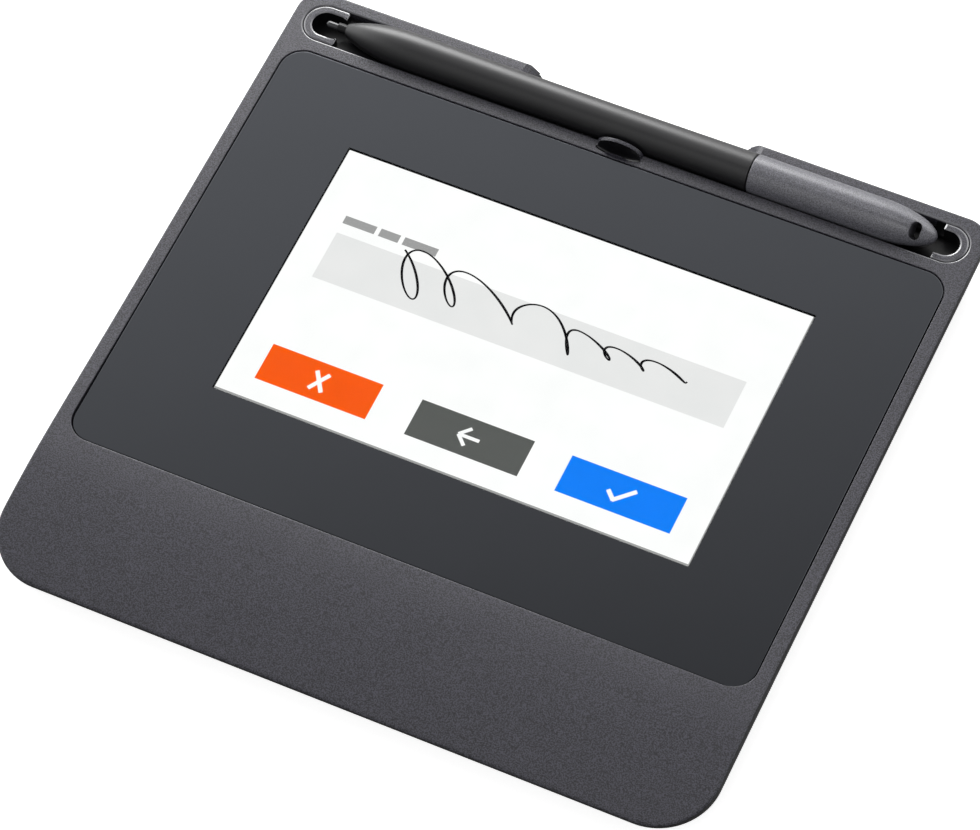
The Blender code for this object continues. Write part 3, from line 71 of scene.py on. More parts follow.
# Places of the pen and its bay
PEN_Y, PEN_Z, PEN_RADIUS = 70.375 * MM, 10.9 * MM, 4.35 * MM
NOSE_X, BARREL_END_X, TAIL_X = -67.45 * MM, 28.55 * MM, 70.75 * MM
BAY_LENGTH, BAY_WIDTH, BAY_FRONT_Y = 155.3 * MM, 9.35 * MM, 65.7 * MM
NIB_REACH = 4.9 * MM
NOSE_LENGTH, NOSE_MOUTH, NOSE_POWER = 20 * MM, 1.4 * MM, 3.2


# Working with pieces

def nothing():
    """Back in object mode, with nothing selected."""
    if bpy.context.mode != "OBJECT":
        bpy.ops.object.mode_set(mode="OBJECT")
    bpy.ops.object.select_all(action="DESELECT")


def only(piece):
    """Back in object mode, with this one piece selected."""
    nothing()
    piece.select_set(True)
    bpy.context.view_layer.objects.active = piece
    return piece


def settle(piece):
    """Move a piece's place, turn and scale into its mesh."""
    only(piece)
    bpy.ops.object.transform_apply(location=True, rotation=True, scale=True)
    return piece


def named(name):
    """Name the piece that an operator has just added, with its place in its mesh."""
    piece = settle(bpy.context.object)
    piece.name = name
    piece.data.name = name
    return piece


def edit(piece):
    """In edit mode, with this one piece."""
    only(piece)
    bpy.ops.object.mode_set(mode="EDIT")
    return piece


def choose_all():
    """Select everything in edit mode."""
    bpy.ops.mesh.select_all(action="SELECT")


def bisect(place, way):
    """Bisect the whole piece in edit mode by a plane through a place, square to a way."""
    choose_all()
    bpy.ops.mesh.bisect(plane_co=place, plane_no=way)


def extrude(*way):
    """Extrude what is selected in edit mode."""
    bpy.ops.mesh.extrude_region_move(TRANSFORM_OT_translate={"value": way})


def close_up():
    """Turn all faces outwards, and go back to object mode."""
    choose_all()
    bpy.ops.mesh.normals_make_consistent(inside=False)
    bpy.ops.object.mode_set(mode="OBJECT")


def choose(piece, kind, test):
    """Select the points, edges or faces of the piece in edit mode that pass a test."""
    marks = {"verts": "VERT", "edges": "EDGE", "faces": "FACE"}
    bpy.ops.mesh.select_mode(type=marks[kind])
    bpy.ops.mesh.select_all(action="DESELECT")
    shell = bmesh.from_edit_mesh(piece.data)
    for part in getattr(shell, kind):
        part.select = bool(test(part))
    shell.select_flush_mode()
    bmesh.update_edit_mesh(piece.data)


def modify(piece, kind, **settings):
    """Add a modifier with its settings and apply it."""
    only(piece)
    modifier = piece.modifiers.new(kind.lower(), kind)
    for key, value in settings.items():
        setattr(modifier, key, value)
    bpy.ops.object.modifier_apply(modifier=modifier.name)


def paint(piece, finishes, name):
    """Give the selected faces one of the piece's own finishes."""
    piece.active_material_index = finishes.index(name)
    bpy.ops.object.material_slot_assign()


def cut(piece, tool, operation="DIFFERENCE"):
    """Cut a tool out of a piece, or join it on, and throw the tool away."""
    modify(piece, "BOOLEAN", object=tool, operation=operation, solver="EXACT")
    bpy.data.objects.remove(tool, do_unlink=True)
    return piece


def soften(piece, angle=30):
    """Smooth shading that keeps flat faces flat."""
    only(piece)
    bpy.ops.object.shade_smooth_by_angle(angle=math.radians(angle))
    for modifier in list(piece.modifiers):
        bpy.ops.object.modifier_apply(modifier=modifier.name)
    modify(piece, "WEIGHTED_NORMAL", weight=90, keep_sharp=True)
    return piece


def merged_copy(node, name, angle=32):
    """A welded copy of a CAD node, with its curves shaded smooth."""
    nothing()
    source = frame["nodes"][node]
    piece = source.copy()
    piece.data = source.data.copy()
    piece.parent = None
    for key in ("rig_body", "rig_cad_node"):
        if key in piece:
            del piece[key]
    bpy.context.scene.collection.objects.link(piece)
    piece.name = name
    edit(piece)
    choose_all()
    bpy.ops.mesh.remove_doubles(threshold=NODE_WELD)
    bpy.ops.mesh.tris_convert_to_quads(face_threshold=0.02, shape_threshold=0.6)
    return soften(piece, angle)


def install(piece, body, slot, finish, *nodes):
    """Give a finished piece its material, unless it has its own, put it on its body, and hide the CAD
    nodes that it replaces. The slot is not used.
    """
    if finish:
        piece.data.materials.clear()
        piece.data.materials.append(finish)
    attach(piece, body)
    if nodes:
        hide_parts(*nodes)


# Materials

# How a moulding's sheen drifts: over how many grains, and how much rougher or smoother. The same for metal
DRIFT_GRAINS, DRIFT, METAL_DRIFT = 30, 0.02, 0.08
# How wide the smears on the clear glass and in the ink are, and the backlight's mottle, with its strength
SMEAR, INK_SMEAR, MOTTLE, MOTTLE_SHARE = 9 * MM, 14 * MM, 14 * MM, 0.015
# The spacing of a board's traces, and how far they stand out under the mask
TRACE_PITCH, TRACE_RISE = 4 * MM, 0.03 * MM


def hue(code):
    """A linear colour from an sRGB hex code."""
    shares = [int(code[i:i + 2], 16) / 255 for i in (0, 2, 4)]
    return [s / 12.92 if s <= 0.04045 else ((s + 0.055) / 1.055) ** 2.4 for s in shares] + [1]


def feed(tree, node, inputs):
    """Fill a node's inputs with values or links."""
    for key, value in inputs.items():
        if isinstance(value, bpy.types.NodeSocket):
            tree.links.new(value, node.inputs[key])
        else:
            node.inputs[key].default_value = value


def add_node(tree, kind, inputs=None, stops=None, **settings):
    """Add a node, set it, and fill its inputs. Stops are a ramp's colours."""
    node = tree.nodes.new(kind)
    for key, value in settings.items():
        setattr(node, key, value)
    feed(tree, node, inputs or {})
    for index, (position, colour) in enumerate(stops or []):
        stop = node.color_ramp.elements[index] if index < 2 else node.color_ramp.elements.new(position)
        stop.position, stop.color = position, hue(colour)
    return node


def begin(name, **settings):
    """A new material, its node tree, its shader, and the place on the piece as a vector."""
    material = bpy.data.materials.new(name)
    material.use_nodes = True
    tree = material.node_tree
    shader = tree.nodes["Principled BSDF"]
    for key, value in settings.items():
        shader.inputs[key.replace("_", " ")].default_value = value
    place = add_node(tree, "ShaderNodeTexCoord").outputs["Object"]
    return material, tree, shader, place


def moulded(name, low, high, grain, depth, roughness, contrast=0.14, **settings):
    """Injection-moulded plastic: the grain of a spark-eroded tool, and the sheen's slow drift."""
    material, tree, shader, place = begin(name, **settings)
    fine = add_node(tree, "ShaderNodeTexNoise", {"Vector": place, "Scale": 1 / grain, "Detail": 2.0})
    broad = add_node(tree, "ShaderNodeTexNoise", {
        "Vector": place, "Scale": 1 / (grain * DRIFT_GRAINS), "Detail": 3.0})
    colour = add_node(tree, "ShaderNodeValToRGB", {"Fac": fine.outputs["Fac"]},
                      [(0.5 - contrast, low), (0.5 + contrast, high)])
    sheen = add_node(tree, "ShaderNodeMapRange", {
        "Value": broad.outputs["Fac"], "From Min": 0.3, "From Max": 0.7, "To Min": roughness - DRIFT,
        "To Max": roughness + DRIFT})
    bump = add_node(tree, "ShaderNodeBump", {"Height": fine.outputs["Fac"], "Distance": depth})
    feed(tree, shader, {"Base Color": colour.outputs["Color"], "Roughness": sheen.outputs["Result"],
                        "Normal": bump.outputs["Normal"]})
    return material


def worked_metal(name, low, high, along, across, depth, roughness):
    """Metal with the fine lines of rolling, drawing or turning, long in x and short in y."""
    material, tree, shader, place = begin(name, Metallic=1.0)
    lay = add_node(tree, "ShaderNodeMapping", {
        "Vector": place, "Scale": (1 / along, 1 / across, 1 / across)})
    lines = add_node(tree, "ShaderNodeTexNoise", {
        "Vector": lay.outputs["Vector"], "Scale": 1.0, "Detail": 3.0})
    colour = add_node(tree, "ShaderNodeValToRGB", {"Fac": lines.outputs["Fac"]}, [(0.3, low), (0.7, high)])
    sheen = add_node(tree, "ShaderNodeMapRange", {
        "Value": lines.outputs["Fac"], "To Min": roughness - METAL_DRIFT,
        "To Max": roughness + METAL_DRIFT})
    bump = add_node(tree, "ShaderNodeBump", {"Height": lines.outputs["Fac"], "Distance": depth})
    feed(tree, shader, {"Base Color": colour.outputs["Color"], "Roughness": sheen.outputs["Result"],
                        "Normal": bump.outputs["Normal"]})
    return material


def clear_glass(name, index, roughness):
    """Chemically strengthened soda-lime glass. Light for what lies under it passes straight through."""
    material, tree, shader, place = begin(name, IOR=index, Roughness=roughness)
    shader.inputs["Transmission Weight"].default_value = 1.0
    smear = add_node(tree, "ShaderNodeTexNoise", {"Vector": place, "Scale": 1 / SMEAR, "Detail": 2.0})
    tint = add_node(tree, "ShaderNodeValToRGB", {"Fac": smear.outputs["Fac"]},
                    [(0.3, "F7F9F8"), (0.7, "FBFCFB")])
    tree.links.new(tint.outputs["Color"], shader.inputs["Base Color"])
    seen = add_node(tree, "ShaderNodeLightPath")
    clear = add_node(tree, "ShaderNodeBsdfTransparent")
    mixed = add_node(tree, "ShaderNodeMixShader", {
        "Fac": seen.outputs["Is Shadow Ray"], 1: shader.outputs["BSDF"], 2: clear.outputs["BSDF"]})
    tree.links.new(mixed.outputs["Shader"], tree.nodes["Material Output"].inputs["Surface"])
    return material


def printed_glass():
    """Glass with black ceramic ink fired on its back: even, dark, with one clean reflection."""
    material, tree, shader, place = begin("black_backed_glass", IOR=1.51)
    smear = add_node(tree, "ShaderNodeTexNoise", {"Vector": place, "Scale": 1 / INK_SMEAR, "Detail": 2.0})
    etch = add_node(tree, "ShaderNodeMapRange", {
        "Value": smear.outputs["Fac"], "To Min": 0.05, "To Max": 0.09})
    depth = add_node(tree, "ShaderNodeValToRGB", {"Fac": smear.outputs["Fac"]},
                     [(0.2, "19191B"), (0.8, "1C1C1F")])
    feed(tree, shader, {"Specular Tint": hue("E9EFFA"), "Roughness": etch.outputs["Result"],
                        "Base Color": depth.outputs["Color"]})
    return material


def backlit(name, code, strength):
    """Lit pixels of a liquid crystal display: a flat glow with the faint mottle of its backlight."""
    material, tree, shader, place = begin(name, Roughness=0.5)
    mottle = add_node(tree, "ShaderNodeTexNoise", {"Vector": place, "Scale": 1 / MOTTLE, "Detail": 1.0})
    level = add_node(tree, "ShaderNodeMapRange", {
        "Value": mottle.outputs["Fac"], "To Min": strength * (1 - MOTTLE_SHARE),
        "To Max": strength * (1 + MOTTLE_SHARE)})
    feed(tree, shader, {"Base Color": hue("0A0A0B"), "Specular IOR Level": 0.0,
                        "Emission Color": hue(code), "Emission Strength": level.outputs["Result"]})
    return material


def solder_masked_board():
    """Glass-fibre board under green solder mask: traces show through as paler green lines."""
    material, tree, shader, place = begin("solder_masked_fr4", Roughness=0.35)
    track = add_node(tree, "ShaderNodeTexBrick", {
        "Vector": place, "Scale": 1 / TRACE_PITCH, "Mortar Size": 0.035, "Color1": hue("0E4A2C"),
        "Color2": hue("115231"), "Mortar": hue("2A7A4C")})
    bump = add_node(tree, "ShaderNodeBump", {"Height": track.outputs["Fac"], "Distance": TRACE_RISE},
                    invert=True)
    feed(tree, shader, {"Base Color": track.outputs["Color"], "Normal": bump.outputs["Normal"]})
    return material


# What the pieces are made of: two colours, then the grain and its depth, and how rough the surface is.
# A real grain or line that is too fine to show is drawn coarser here: 0.2 mm is about a pixel
FINISHES = {
    # ABS from a spark-eroded tool: a dry, sparkling charcoal grain
    "case": moulded("spark_eroded_abs", "0C0C12", "4D4C56", 0.29 * MM, 0.044 * MM, 0.37, 0.10,
                    Specular_IOR_Level=0.40),
    # The same ABS where the tool has a high polish, in the thumb nub's dish: soft mirror lights from its
    # low roughness, and a darker colour that is painted shade in the recess
    "polished": moulded("polished_charcoal_abs", "161619", "1C1C1F", 0.5 * MM, 0.002 * MM, 0.22),
    # The same ABS on narrow chamfers, painted lighter than the case as a painted highlight along the
    # edges, and more reflective
    "chamfer": moulded("burnished_abs_edge", "4C4C52", "5A5A60", 0.4 * MM, 0.002 * MM, 0.24,
                       Specular_IOR_Level=1.0),
    # The same ABS on the upright outside walls, smooth, and painted nearly black as painted shade on sides
    # that face away from the light
    "wall": moulded("smooth_black_abs", "09090A", "0D0D0F", 0.22 * MM, 0.006 * MM, 0.45,
                    Specular_IOR_Level=0.25),
    # The lower case's ABS in a finer grain, black
    "base": moulded("fine_grain_black_abs", "121214", "1A1A1D", 0.22 * MM, 0.015 * MM, 0.55,
                    Specular_IOR_Level=0.35),
    # Polycarbonate from a tool with a high polish, with sharper glints; its near black is painted shade
    # down in the tray's trough, whose lips wear the case's grey, and the nib collar wears the same black
    "tray": moulded("satin_black_polycarbonate", "0B0B0C", "111113", 0.20 * MM, 0.004 * MM, 0.34,
                    Specular_IOR_Level=0.22),
    # Rubbery lacquer over the barrel: a broad, milky highlight and no grain
    "barrel": moulded("soft_touch_lacquer", "121214", "18181A", 0.30 * MM, 0.003 * MM, 0.37,
                      Specular_IOR_Level=0.45),
    # Moulded ABS of the cap, semi-gloss, with a fine metallic-looking speckle
    "cap": moulded("speckled_grey_abs", "4A4A50", "86868E", 0.22 * MM, 0.010 * MM, 0.32,
                   Specular_IOR_Level=0.75),
    # Acetal of the nib: grey-black and slightly waxy
    "nib": moulded("turned_acetal", "3A3B3D", "444548", 0.5 * MM, 0.0005 * MM, 0.2),
    # Ink screened on the back of the glass: deep matt black
    "ink": moulded("screened_black_ink", "1C1C1F", "1E1E21", 8 * MM, 0.0001 * MM, 0.6),
    # Silicone rubber of the feet: dull, dusty black
    "foot": moulded("cast_silicone_rubber", "1B1B1C", "262627", 0.35 * MM, 0.020 * MM, 0.8),
    # Black epoxy and nylon of chips and small connectors
    "chip": moulded("black_epoxy_moulding", "161617", "222223", 0.25 * MM, 0.008 * MM, 0.5),
    # Unfilled nylon of the flex connectors: warm cream
    "connector": moulded("cream_nylon", "D8CFB8", "E4DCC8", 0.5 * MM, 0.004 * MM, 0.45),
    # White polycarbonate around the backlight
    "white": moulded("white_polycarbonate", "DADBDA", "E8E9E8", 0.6 * MM, 0.003 * MM, 0.4),
    # Grey glass-filled nylon of the pen's holders
    "carrier": moulded("glass_filled_nylon", "5A5C60", "707276", 0.4 * MM, 0.010 * MM, 0.55),
    # Sintered ferrite: dark, faintly gritty
    "ferrite": moulded("sintered_ferrite", "2A2A2C", "3C3C3F", 0.3 * MM, 0.015 * MM, 0.5),
    # Polyimide film of the flexes: clear amber-brown
    "film": moulded("polyimide_film", "A8631A", "C27A28", 1.2 * MM, 0.002 * MM, 0.28),
    # Tin-plated sheet steel of frames, shield and socket, with rolling lines
    "sheet": worked_metal("rolled_tinned_steel", "A9ABAD", "C9CBCD", 6 * MM, 0.25 * MM, 0.003 * MM, 0.3),
    # Screws in black zinc, with turning marks
    "screw": worked_metal("black_zinc_steel", "3E3F42", "5A5B5F", 0.4 * MM, 0.15 * MM, 0.004 * MM, 0.38),
    # Enamelled copper wire, wound side by side
    "wire": worked_metal("enamelled_copper", "A8522A", "D07A48", 0.12 * MM, 3 * MM, 0.02 * MM, 0.25),
    # Float glass over its black border: even grey reflections
    "glass": printed_glass(),
    # A quarter-wave coating over the screen, whose low index keeps the colours deep
    "coated_glass": clear_glass("coated_soda_lime_glass", 1.1, 0.05),
    # Unlit edge of the panel, grey with stray light
    "panel": backlit("lcd_edge", "B4B4B4", 0.8),
    # Green boards with their traces
    "board": solder_masked_board(),
}


# Stage, lights and camera

# How bright the room is before and behind the object, for the gloss and for the fill light
FRONT_GLOSS, FRONT_FILL, REAR_FILL = 0.22, 0.30, 0.42
# How bright the gloss is from the horizon to straight up, as shares of its brightest part
GLOSS_PEAK = 4.0
GLOSS_STOPS = [(0.0, "A0A0A0"), (0.3, "CECECE"), (0.55, "FFFFFF"), (0.72, "F3F3F3"), (0.80, "CBCBCB"),
               (0.893, "6E6E6E"), (0.95, "505050"), (1.0, "ECECEC")]
# The way to the brighter side of the room
BRIGHT_WAY = (-0.45, 0.89, 0)
# The floor's width in metres, its drop under the feet, and how brightly it glows to the camera
FLOOR_WIDTH, FLOOR_DROP, FLOOR_GLOW = 6, 0.03 * MM, 0.78
# The point on the object that the lamps face, in metres
LAMP_TARGET = (0, 0, 0.01)
# The photograph's viewpoint, solved from the object's outlines: its place in metres, and its axes
VIEW_PLACE = (0.270709, -0.461295, 0.881057)
VIEW_RIGHT, VIEW_UP = Vector((0.903951, 0.423869, -0.056633)), Vector((-0.336952, 0.787534, 0.515997))
VIEW_BACK = Vector((0.263315, -0.447354, 0.854716))


def make_floor():
    """A pale sweep just under the feet, white to the camera but for the shadow, and clear from below."""
    bpy.ops.mesh.primitive_plane_add(size=FLOOR_WIDTH, location=(0, 0, -FLOOR_DROP))
    floor = named("floor")
    edit(floor)
    bpy.ops.mesh.subdivide(number_cuts=3)
    bpy.ops.object.mode_set(mode="OBJECT")
    material, tree, shader, _ = begin("white_paper", Roughness=0.9)
    seen = add_node(tree, "ShaderNodeLightPath")
    glow = add_node(tree, "ShaderNodeMath", {0: seen.outputs["Is Camera Ray"], 1: FLOOR_GLOW},
                    operation="MULTIPLY")
    feed(tree, shader, {"Base Color": hue("F4F4F4"), "Emission Color": hue("FFFFFF"),
                        "Emission Strength": glow.outputs["Value"]})
    side = add_node(tree, "ShaderNodeNewGeometry")
    clear = add_node(tree, "ShaderNodeBsdfTransparent")
    mixed = add_node(tree, "ShaderNodeMixShader", {
        "Fac": side.outputs["Backfacing"], 1: shader.outputs["BSDF"], 2: clear.outputs["BSDF"]})
    tree.links.new(mixed.outputs["Shader"], tree.nodes["Material Output"].inputs["Surface"])
    floor.data.materials.append(material)


def make_world():
    """A room that is white to the camera, and lights the object more from behind than from before it."""
    world = bpy.data.worlds.new("studio")
    bpy.context.scene.world = world
    world.use_nodes = True
    tree = world.node_tree
    shader = tree.nodes["Background"]
    way = add_node(tree, "ShaderNodeTexCoord").outputs["Generated"]
    split = add_node(tree, "ShaderNodeSeparateXYZ", {"Vector": way}).outputs
    height = add_node(tree, "ShaderNodeValToRGB", {"Fac": split["Z"]}, GLOSS_STOPS)
    rear = add_node(tree, "ShaderNodeVectorMath", {0: way, 1: BRIGHT_WAY}, operation="DOT_PRODUCT")
    depth = add_node(tree, "ShaderNodeMapRange", {
        "Value": rear.outputs["Value"], "From Min": -0.35, "From Max": 0.25,
        "To Min": FRONT_GLOSS * GLOSS_PEAK, "To Max": GLOSS_PEAK})
    gloss = add_node(tree, "ShaderNodeMath", {0: height.outputs["Color"], 1: depth.outputs["Result"]},
                     operation="MULTIPLY")
    fill = add_node(tree, "ShaderNodeMapRange", {
        "Value": split["Y"], "From Min": -0.8, "From Max": 0.8, "To Min": FRONT_FILL, "To Max": REAR_FILL})
    seen = add_node(tree, "ShaderNodeLightPath")
    glossy = add_node(tree, "ShaderNodeMix", {
        "Factor": seen.outputs["Is Glossy Ray"], 2: fill.outputs["Result"], 3: gloss.outputs["Value"]})
    direct = add_node(tree, "ShaderNodeMath", {
        0: seen.outputs["Is Camera Ray"], 1: seen.outputs["Is Transmission Ray"]}, operation="MAXIMUM")
    level = add_node(tree, "ShaderNodeMix", {
        "Factor": direct.outputs["Value"], 2: glossy.outputs["Result"], 3: 1.0})
    feed(tree, shader, {"Color": hue("FFFFFF"), "Strength": level.outputs["Result"]})


def make_lamp(name, place, size, power):
    """A soft square lamp that faces the object. Its place and size are in metres, its power in watts."""
    lamp = bpy.data.lights.new(name, "AREA")
    lamp.shape = "SQUARE"
    lamp.size = size
    lamp.energy = power
    holder = bpy.data.objects.new(name, lamp)
    bpy.context.scene.collection.objects.link(holder)
    way = (Vector(LAMP_TARGET) - Vector(place)).to_track_quat("-Z", "Y")
    holder.matrix_world = Matrix.Translation(place) @ way.to_matrix().to_4x4()


def make_camera():
    """The photograph's viewpoint: above, and to the right of the front."""
    camera = bpy.data.cameras.new("camera")
    camera.sensor_width = 36
    camera.lens = 180.95
    camera.clip_start = 0.05
    camera.clip_end = 20
    holder = bpy.data.objects.new("camera", camera)
    bpy.context.scene.collection.objects.link(holder)
    turn = Matrix((VIEW_RIGHT, VIEW_UP, VIEW_BACK)).transposed().to_4x4()
    holder.matrix_world = Matrix.Translation(VIEW_PLACE) @ turn
    bpy.context.scene.camera = holder


make_camera()
make_floor()
make_world()
make_lamp("key_softbox", (-0.24, 0.42, 0.23), 0.26, 1.9)
make_lamp("front_softbox", (0.10, -0.75, 1.15), 0.5, 1.6)
bpy.context.scene.view_settings.view_transform = "Standard"


# The glass, its ink and the picture on the screen

# Opening in the ink, and the lit pixels that it shows
OPENING = (-54.0 * MM, -21.8 * MM, 54.5 * MM, 43.6 * MM)
# Clear part of the glass, a little towards the viewer's side of the opening that lies under it
CLEAR = (-53.7 * MM, -22.4 * MM, 54.9 * MM, 43.1 * MM)
GLASS_EDGE, GLASS_FINISHES = 0.2 * MM, ("glass", "coated_glass")
# The ink's gap from the glass, its thickness, its margin from the glass's edge and its opening's corners
INK_GAP, INK_THICKNESS, INK_MARGIN, INK_CORNER = 0.10 * MM, 0.08 * MM, 0.3 * MM, 0.25 * MM
GLASS_Z = TOP_Z - GLASS_THICKNESS
INK_Z = GLASS_Z - INK_GAP
# The picture's layers: the step between them, how much of it a sheet fills, and a sheet's corners
LAYER, LAYER_FILL, TILE_CORNER = 0.02 * MM, 0.8, 0.05 * MM
# The pen line's half width, and the number of points that it is drawn through
LINE_RADIUS, LINE_POINTS = 0.24 * MM, 560
# Ends and rows on the screen, in millimetres from its middle
FIELD_LEFT, FIELD_RIGHT, FIELD_ROW = -47.3, 47.6, (-0.1, 12.0)
PROMPT_ROW, BUTTON_ROW = (14.6, 16.6), (-27.4, -18.3)


def slab(name, low_x, low_y, high_x, high_y, low, high, corner=0.0, steps=10):
    """A flat piece with rounded corners, from a plane that is bevelled and extruded."""
    nothing()
    bpy.ops.mesh.primitive_plane_add(size=1, location=((low_x + high_x) / 2, (low_y + high_y) / 2, low))
    bpy.context.object.scale = (high_x - low_x, high_y - low_y, 1)
    piece = edit(named(name))
    choose_all()
    if corner:
        bpy.ops.mesh.bevel(offset=corner, segments=steps, affect="VERTICES")
        choose_all()
    extrude(0, 0, high - low)
    close_up()
    return piece


def rim_edges(height):
    """A test for the edges that lie level at a height."""
    return lambda edge: all(abs(point.co.z - height) < HAIR for point in edge.verts)


def make_glass():
    """The cover glass, its edges ground, with the part over the screen coated against reflections."""
    glass = slab("cover_glass_ground", -GLASS_WIDTH / 2, GLASS_Y - GLASS_DEPTH / 2, GLASS_WIDTH / 2,
                 GLASS_Y + GLASS_DEPTH / 2, GLASS_Z, TOP_Z, GLASS_CORNER, 24)
    edit(glass)
    choose(glass, "edges", rim_edges(TOP_Z))
    bpy.ops.mesh.bevel(offset=GLASS_EDGE, segments=3)
    for x in CLEAR[::2]:
        bisect((x, 0, 0), (1, 0, 0))
    for y in CLEAR[1::2]:
        bisect((0, y, 0), (0, 1, 0))
    for finish in GLASS_FINISHES:
        glass.data.materials.append(FINISHES[finish])
    choose(glass, "faces",
           lambda face: abs(face.normal.z) > 0.9 and inside(face.calc_center_median(), CLEAR))
    paint(glass, GLASS_FINISHES, "coated_glass")
    soften(glass)
    install(glass, "pad", "cover_glass", None, "cover_glass")


def inside(point, window):
    """Whether a point lies within a window's left, front, right and rear edges."""
    return window[0] < point.x < window[2] and window[1] < point.y < window[3]


def make_ink():
    """The black border that is printed on the back of the glass."""
    border = slab("glass_border_ink", INK_MARGIN - GLASS_WIDTH / 2, GLASS_Y + INK_MARGIN - GLASS_DEPTH / 2,
                  GLASS_WIDTH / 2 - INK_MARGIN, GLASS_Y + GLASS_DEPTH / 2 - INK_MARGIN, INK_Z,
                  INK_Z + INK_THICKNESS, GLASS_CORNER - INK_MARGIN, 24)
    cut(border, slab("ink_opening", *OPENING, INK_Z - MM, INK_Z + MM, INK_CORNER, 4))
    install(border, "pad", "black_tape", FINISHES["ink"])


def picture(name, code, strength, layer, shapes):
    """Lit shapes of one colour, joined into one thin piece on the panel."""
    low = PANEL_TOP_Z + layer * LAYER
    parts = [shape(low, low + LAYER * LAYER_FILL) for shape in shapes]
    nothing()
    for part in parts:
        part.select_set(True)
    bpy.context.view_layer.objects.active = parts[0]
    if len(parts) > 1:
        bpy.ops.object.join()
    parts[0].name = name
    install(parts[0], "pad", "display_face", backlit("lcd_pixels_" + name, code, strength))


def tile(low_x, high_x, low_y, high_y):
    """A rectangle on the screen, in millimetres from its middle."""
    return lambda low, high: slab("tile", low_x * MM, LIT_Y + low_y * MM, high_x * MM, LIT_Y + high_y * MM,
                                  low, high, TILE_CORNER, 2)


def strokes(middle, width, *lines):
    """Straight strokes of one width, in millimetres, that cross or meet, united into one shape."""
    def build(low, high):
        shape = None
        for start_x, start_y, end_x, end_y in lines:
            length = math.hypot(end_x - start_x, end_y - start_y) * MM
            bar = slab("stroke", -length / 2, -width * MM / 2, length / 2, width * MM / 2, low, high)
            angle = math.atan2(end_y - start_y, end_x - start_x)
            bar.rotation_euler.z = angle
            bar.location = ((middle[0] + (start_x + end_x) / 2) * MM,
                            LIT_Y + (middle[1] + (start_y + end_y) / 2) * MM, 0)
            settle(bar)
            shape = cut(shape, bar, "UNION") if shape else bar
        return shape
    return build


def flourish(low, high):
    """A looping pen line, drawn by formula, that spells nothing."""
    nothing()
    curve = bpy.data.curves.new("flourish", "CURVE")
    curve.dimensions = "3D"
    curve.bevel_depth = LINE_RADIUS
    curve.bevel_resolution = 2
    curve.use_fill_caps = True
    curve.resolution_u = 1
    line = curve.splines.new("POLY")
    line.points.add(LINE_POINTS - 1)
    for index in range(LINE_POINTS):
        share = index / (LINE_POINTS - 1)
        # How far round its loops the line is, how tall they are, and its place in millimetres
        swing = 2 * math.pi * (6.2 * share + 0.30 * math.sin(8.2 * share))
        tall = 1.3 + 5.2 * (1 - share) ** 2 + 2.6 * math.exp(-((share - 0.56) / 0.07) ** 2)
        x = -32 + 68 * share + (5.2 - 3.4 * share) * math.sin(swing)
        y = 8.4 + 1.1 * math.sin(5.6 * share + 0.5) + tall * math.cos(swing + 0.75)
        line.points[index].co = (x * MM, LIT_Y + y * MM, 0, 1)
        line.points[index].radius = 0.75 + 0.45 * math.sin(swing + 0.6) ** 2
    item = bpy.data.objects.new("flourish", curve)
    bpy.context.scene.collection.objects.link(item)
    only(item)
    bpy.ops.object.convert(target="MESH")
    item.scale = (1, 1, 0.5 * (high - low) / curve.bevel_depth)
    item.location = (0, 0, (low + high) / 2)
    return settle(item)


def make_picture():
    """What the screen shows: a signing field, a line of ink and three buttons."""
    picture("screen_ground", "FFFFFF", 1.04, 1, [tile(-54, 54, -32.4, 32.4)])
    picture("signing_field", "E9E9E9", 1.04, 2, [tile(FIELD_LEFT, FIELD_RIGHT, *FIELD_ROW)])
    bars = [(FIELD_LEFT, -39.9), (-38.9, -34.3), (-33.3, -25.4)]
    picture("prompt_bars", "A2A2A2", 1.0, 2, [tile(start, end, *PROMPT_ROW) for start, end in bars])
    picture("cancel_button", "FF5A00", 1.0, 2, [tile(FIELD_LEFT, -21.6, *BUTTON_ROW)])
    picture("back_button", "5A5C5A", 1.0, 2, [tile(-12.6, 13.2, *BUTTON_ROW)])
    picture("accept_button", "0080FF", 1.0, 2, [tile(21.7, FIELD_RIGHT, *BUTTON_ROW)])
    cross = strokes((-34.4, -22.9), 0.95, (-1.5, -2.3, 1.5, 2.3), (-1.5, 2.3, 1.5, -2.3))
    arrow = strokes((0.3, -22.9), 0.8, (-2.3, 0, 2.3, 0), (-2.5, 0, -0.3, 2.2), (-2.5, 0, -0.3, -2.2))
    tick = strokes((34.6, -22.9), 0.95, (-2.8, 0.1, -0.8, -1.9), (-1.1, -1.9, 2.9, 1.9))
    picture("button_icons", "FFFFFF", 1.02, 3, [cross, arrow, tick])
    picture("pen_line", "101012", 0.4, 4, [flourish])


make_glass()
make_ink()
make_picture()


# The moulded top case

EDGE = 0.5 * MM
FRONT_CORNER, REAR_CORNER = 13.3 * MM, 5.5 * MM
RIM, WALL, SKIRT_Z, DECK_UNDER_Z, PALM_UNDER_Z = 3.0 * MM, 1.4 * MM, 6.3 * MM, 7.5 * MM, 6.9 * MM
# Half the window over the display, and the hollows under the deck and the palm rest with their corners
WINDOW_X, WINDOW_Y = 60.65 * MM, 38.2 * MM
DECK_HOLLOW, DECK_CORNER = (-46 * MM, BAY_FRONT_Y - 1.8 * MM), 1.8 * MM
PALM_HOLLOW, PALM_CORNER = (-71.5 * MM, -46.3 * MM), 9 * MM
CREST_Y, CREST_RISE, CREST_BLEND, PALM_FALL = -47 * MM, 0.6 * MM, 42 * MM, 3.1 * MM
SEAM_START_Y, SEAM_FALL, SWEEP_POWER = -30 * MM, 1.1 * MM, 1.75
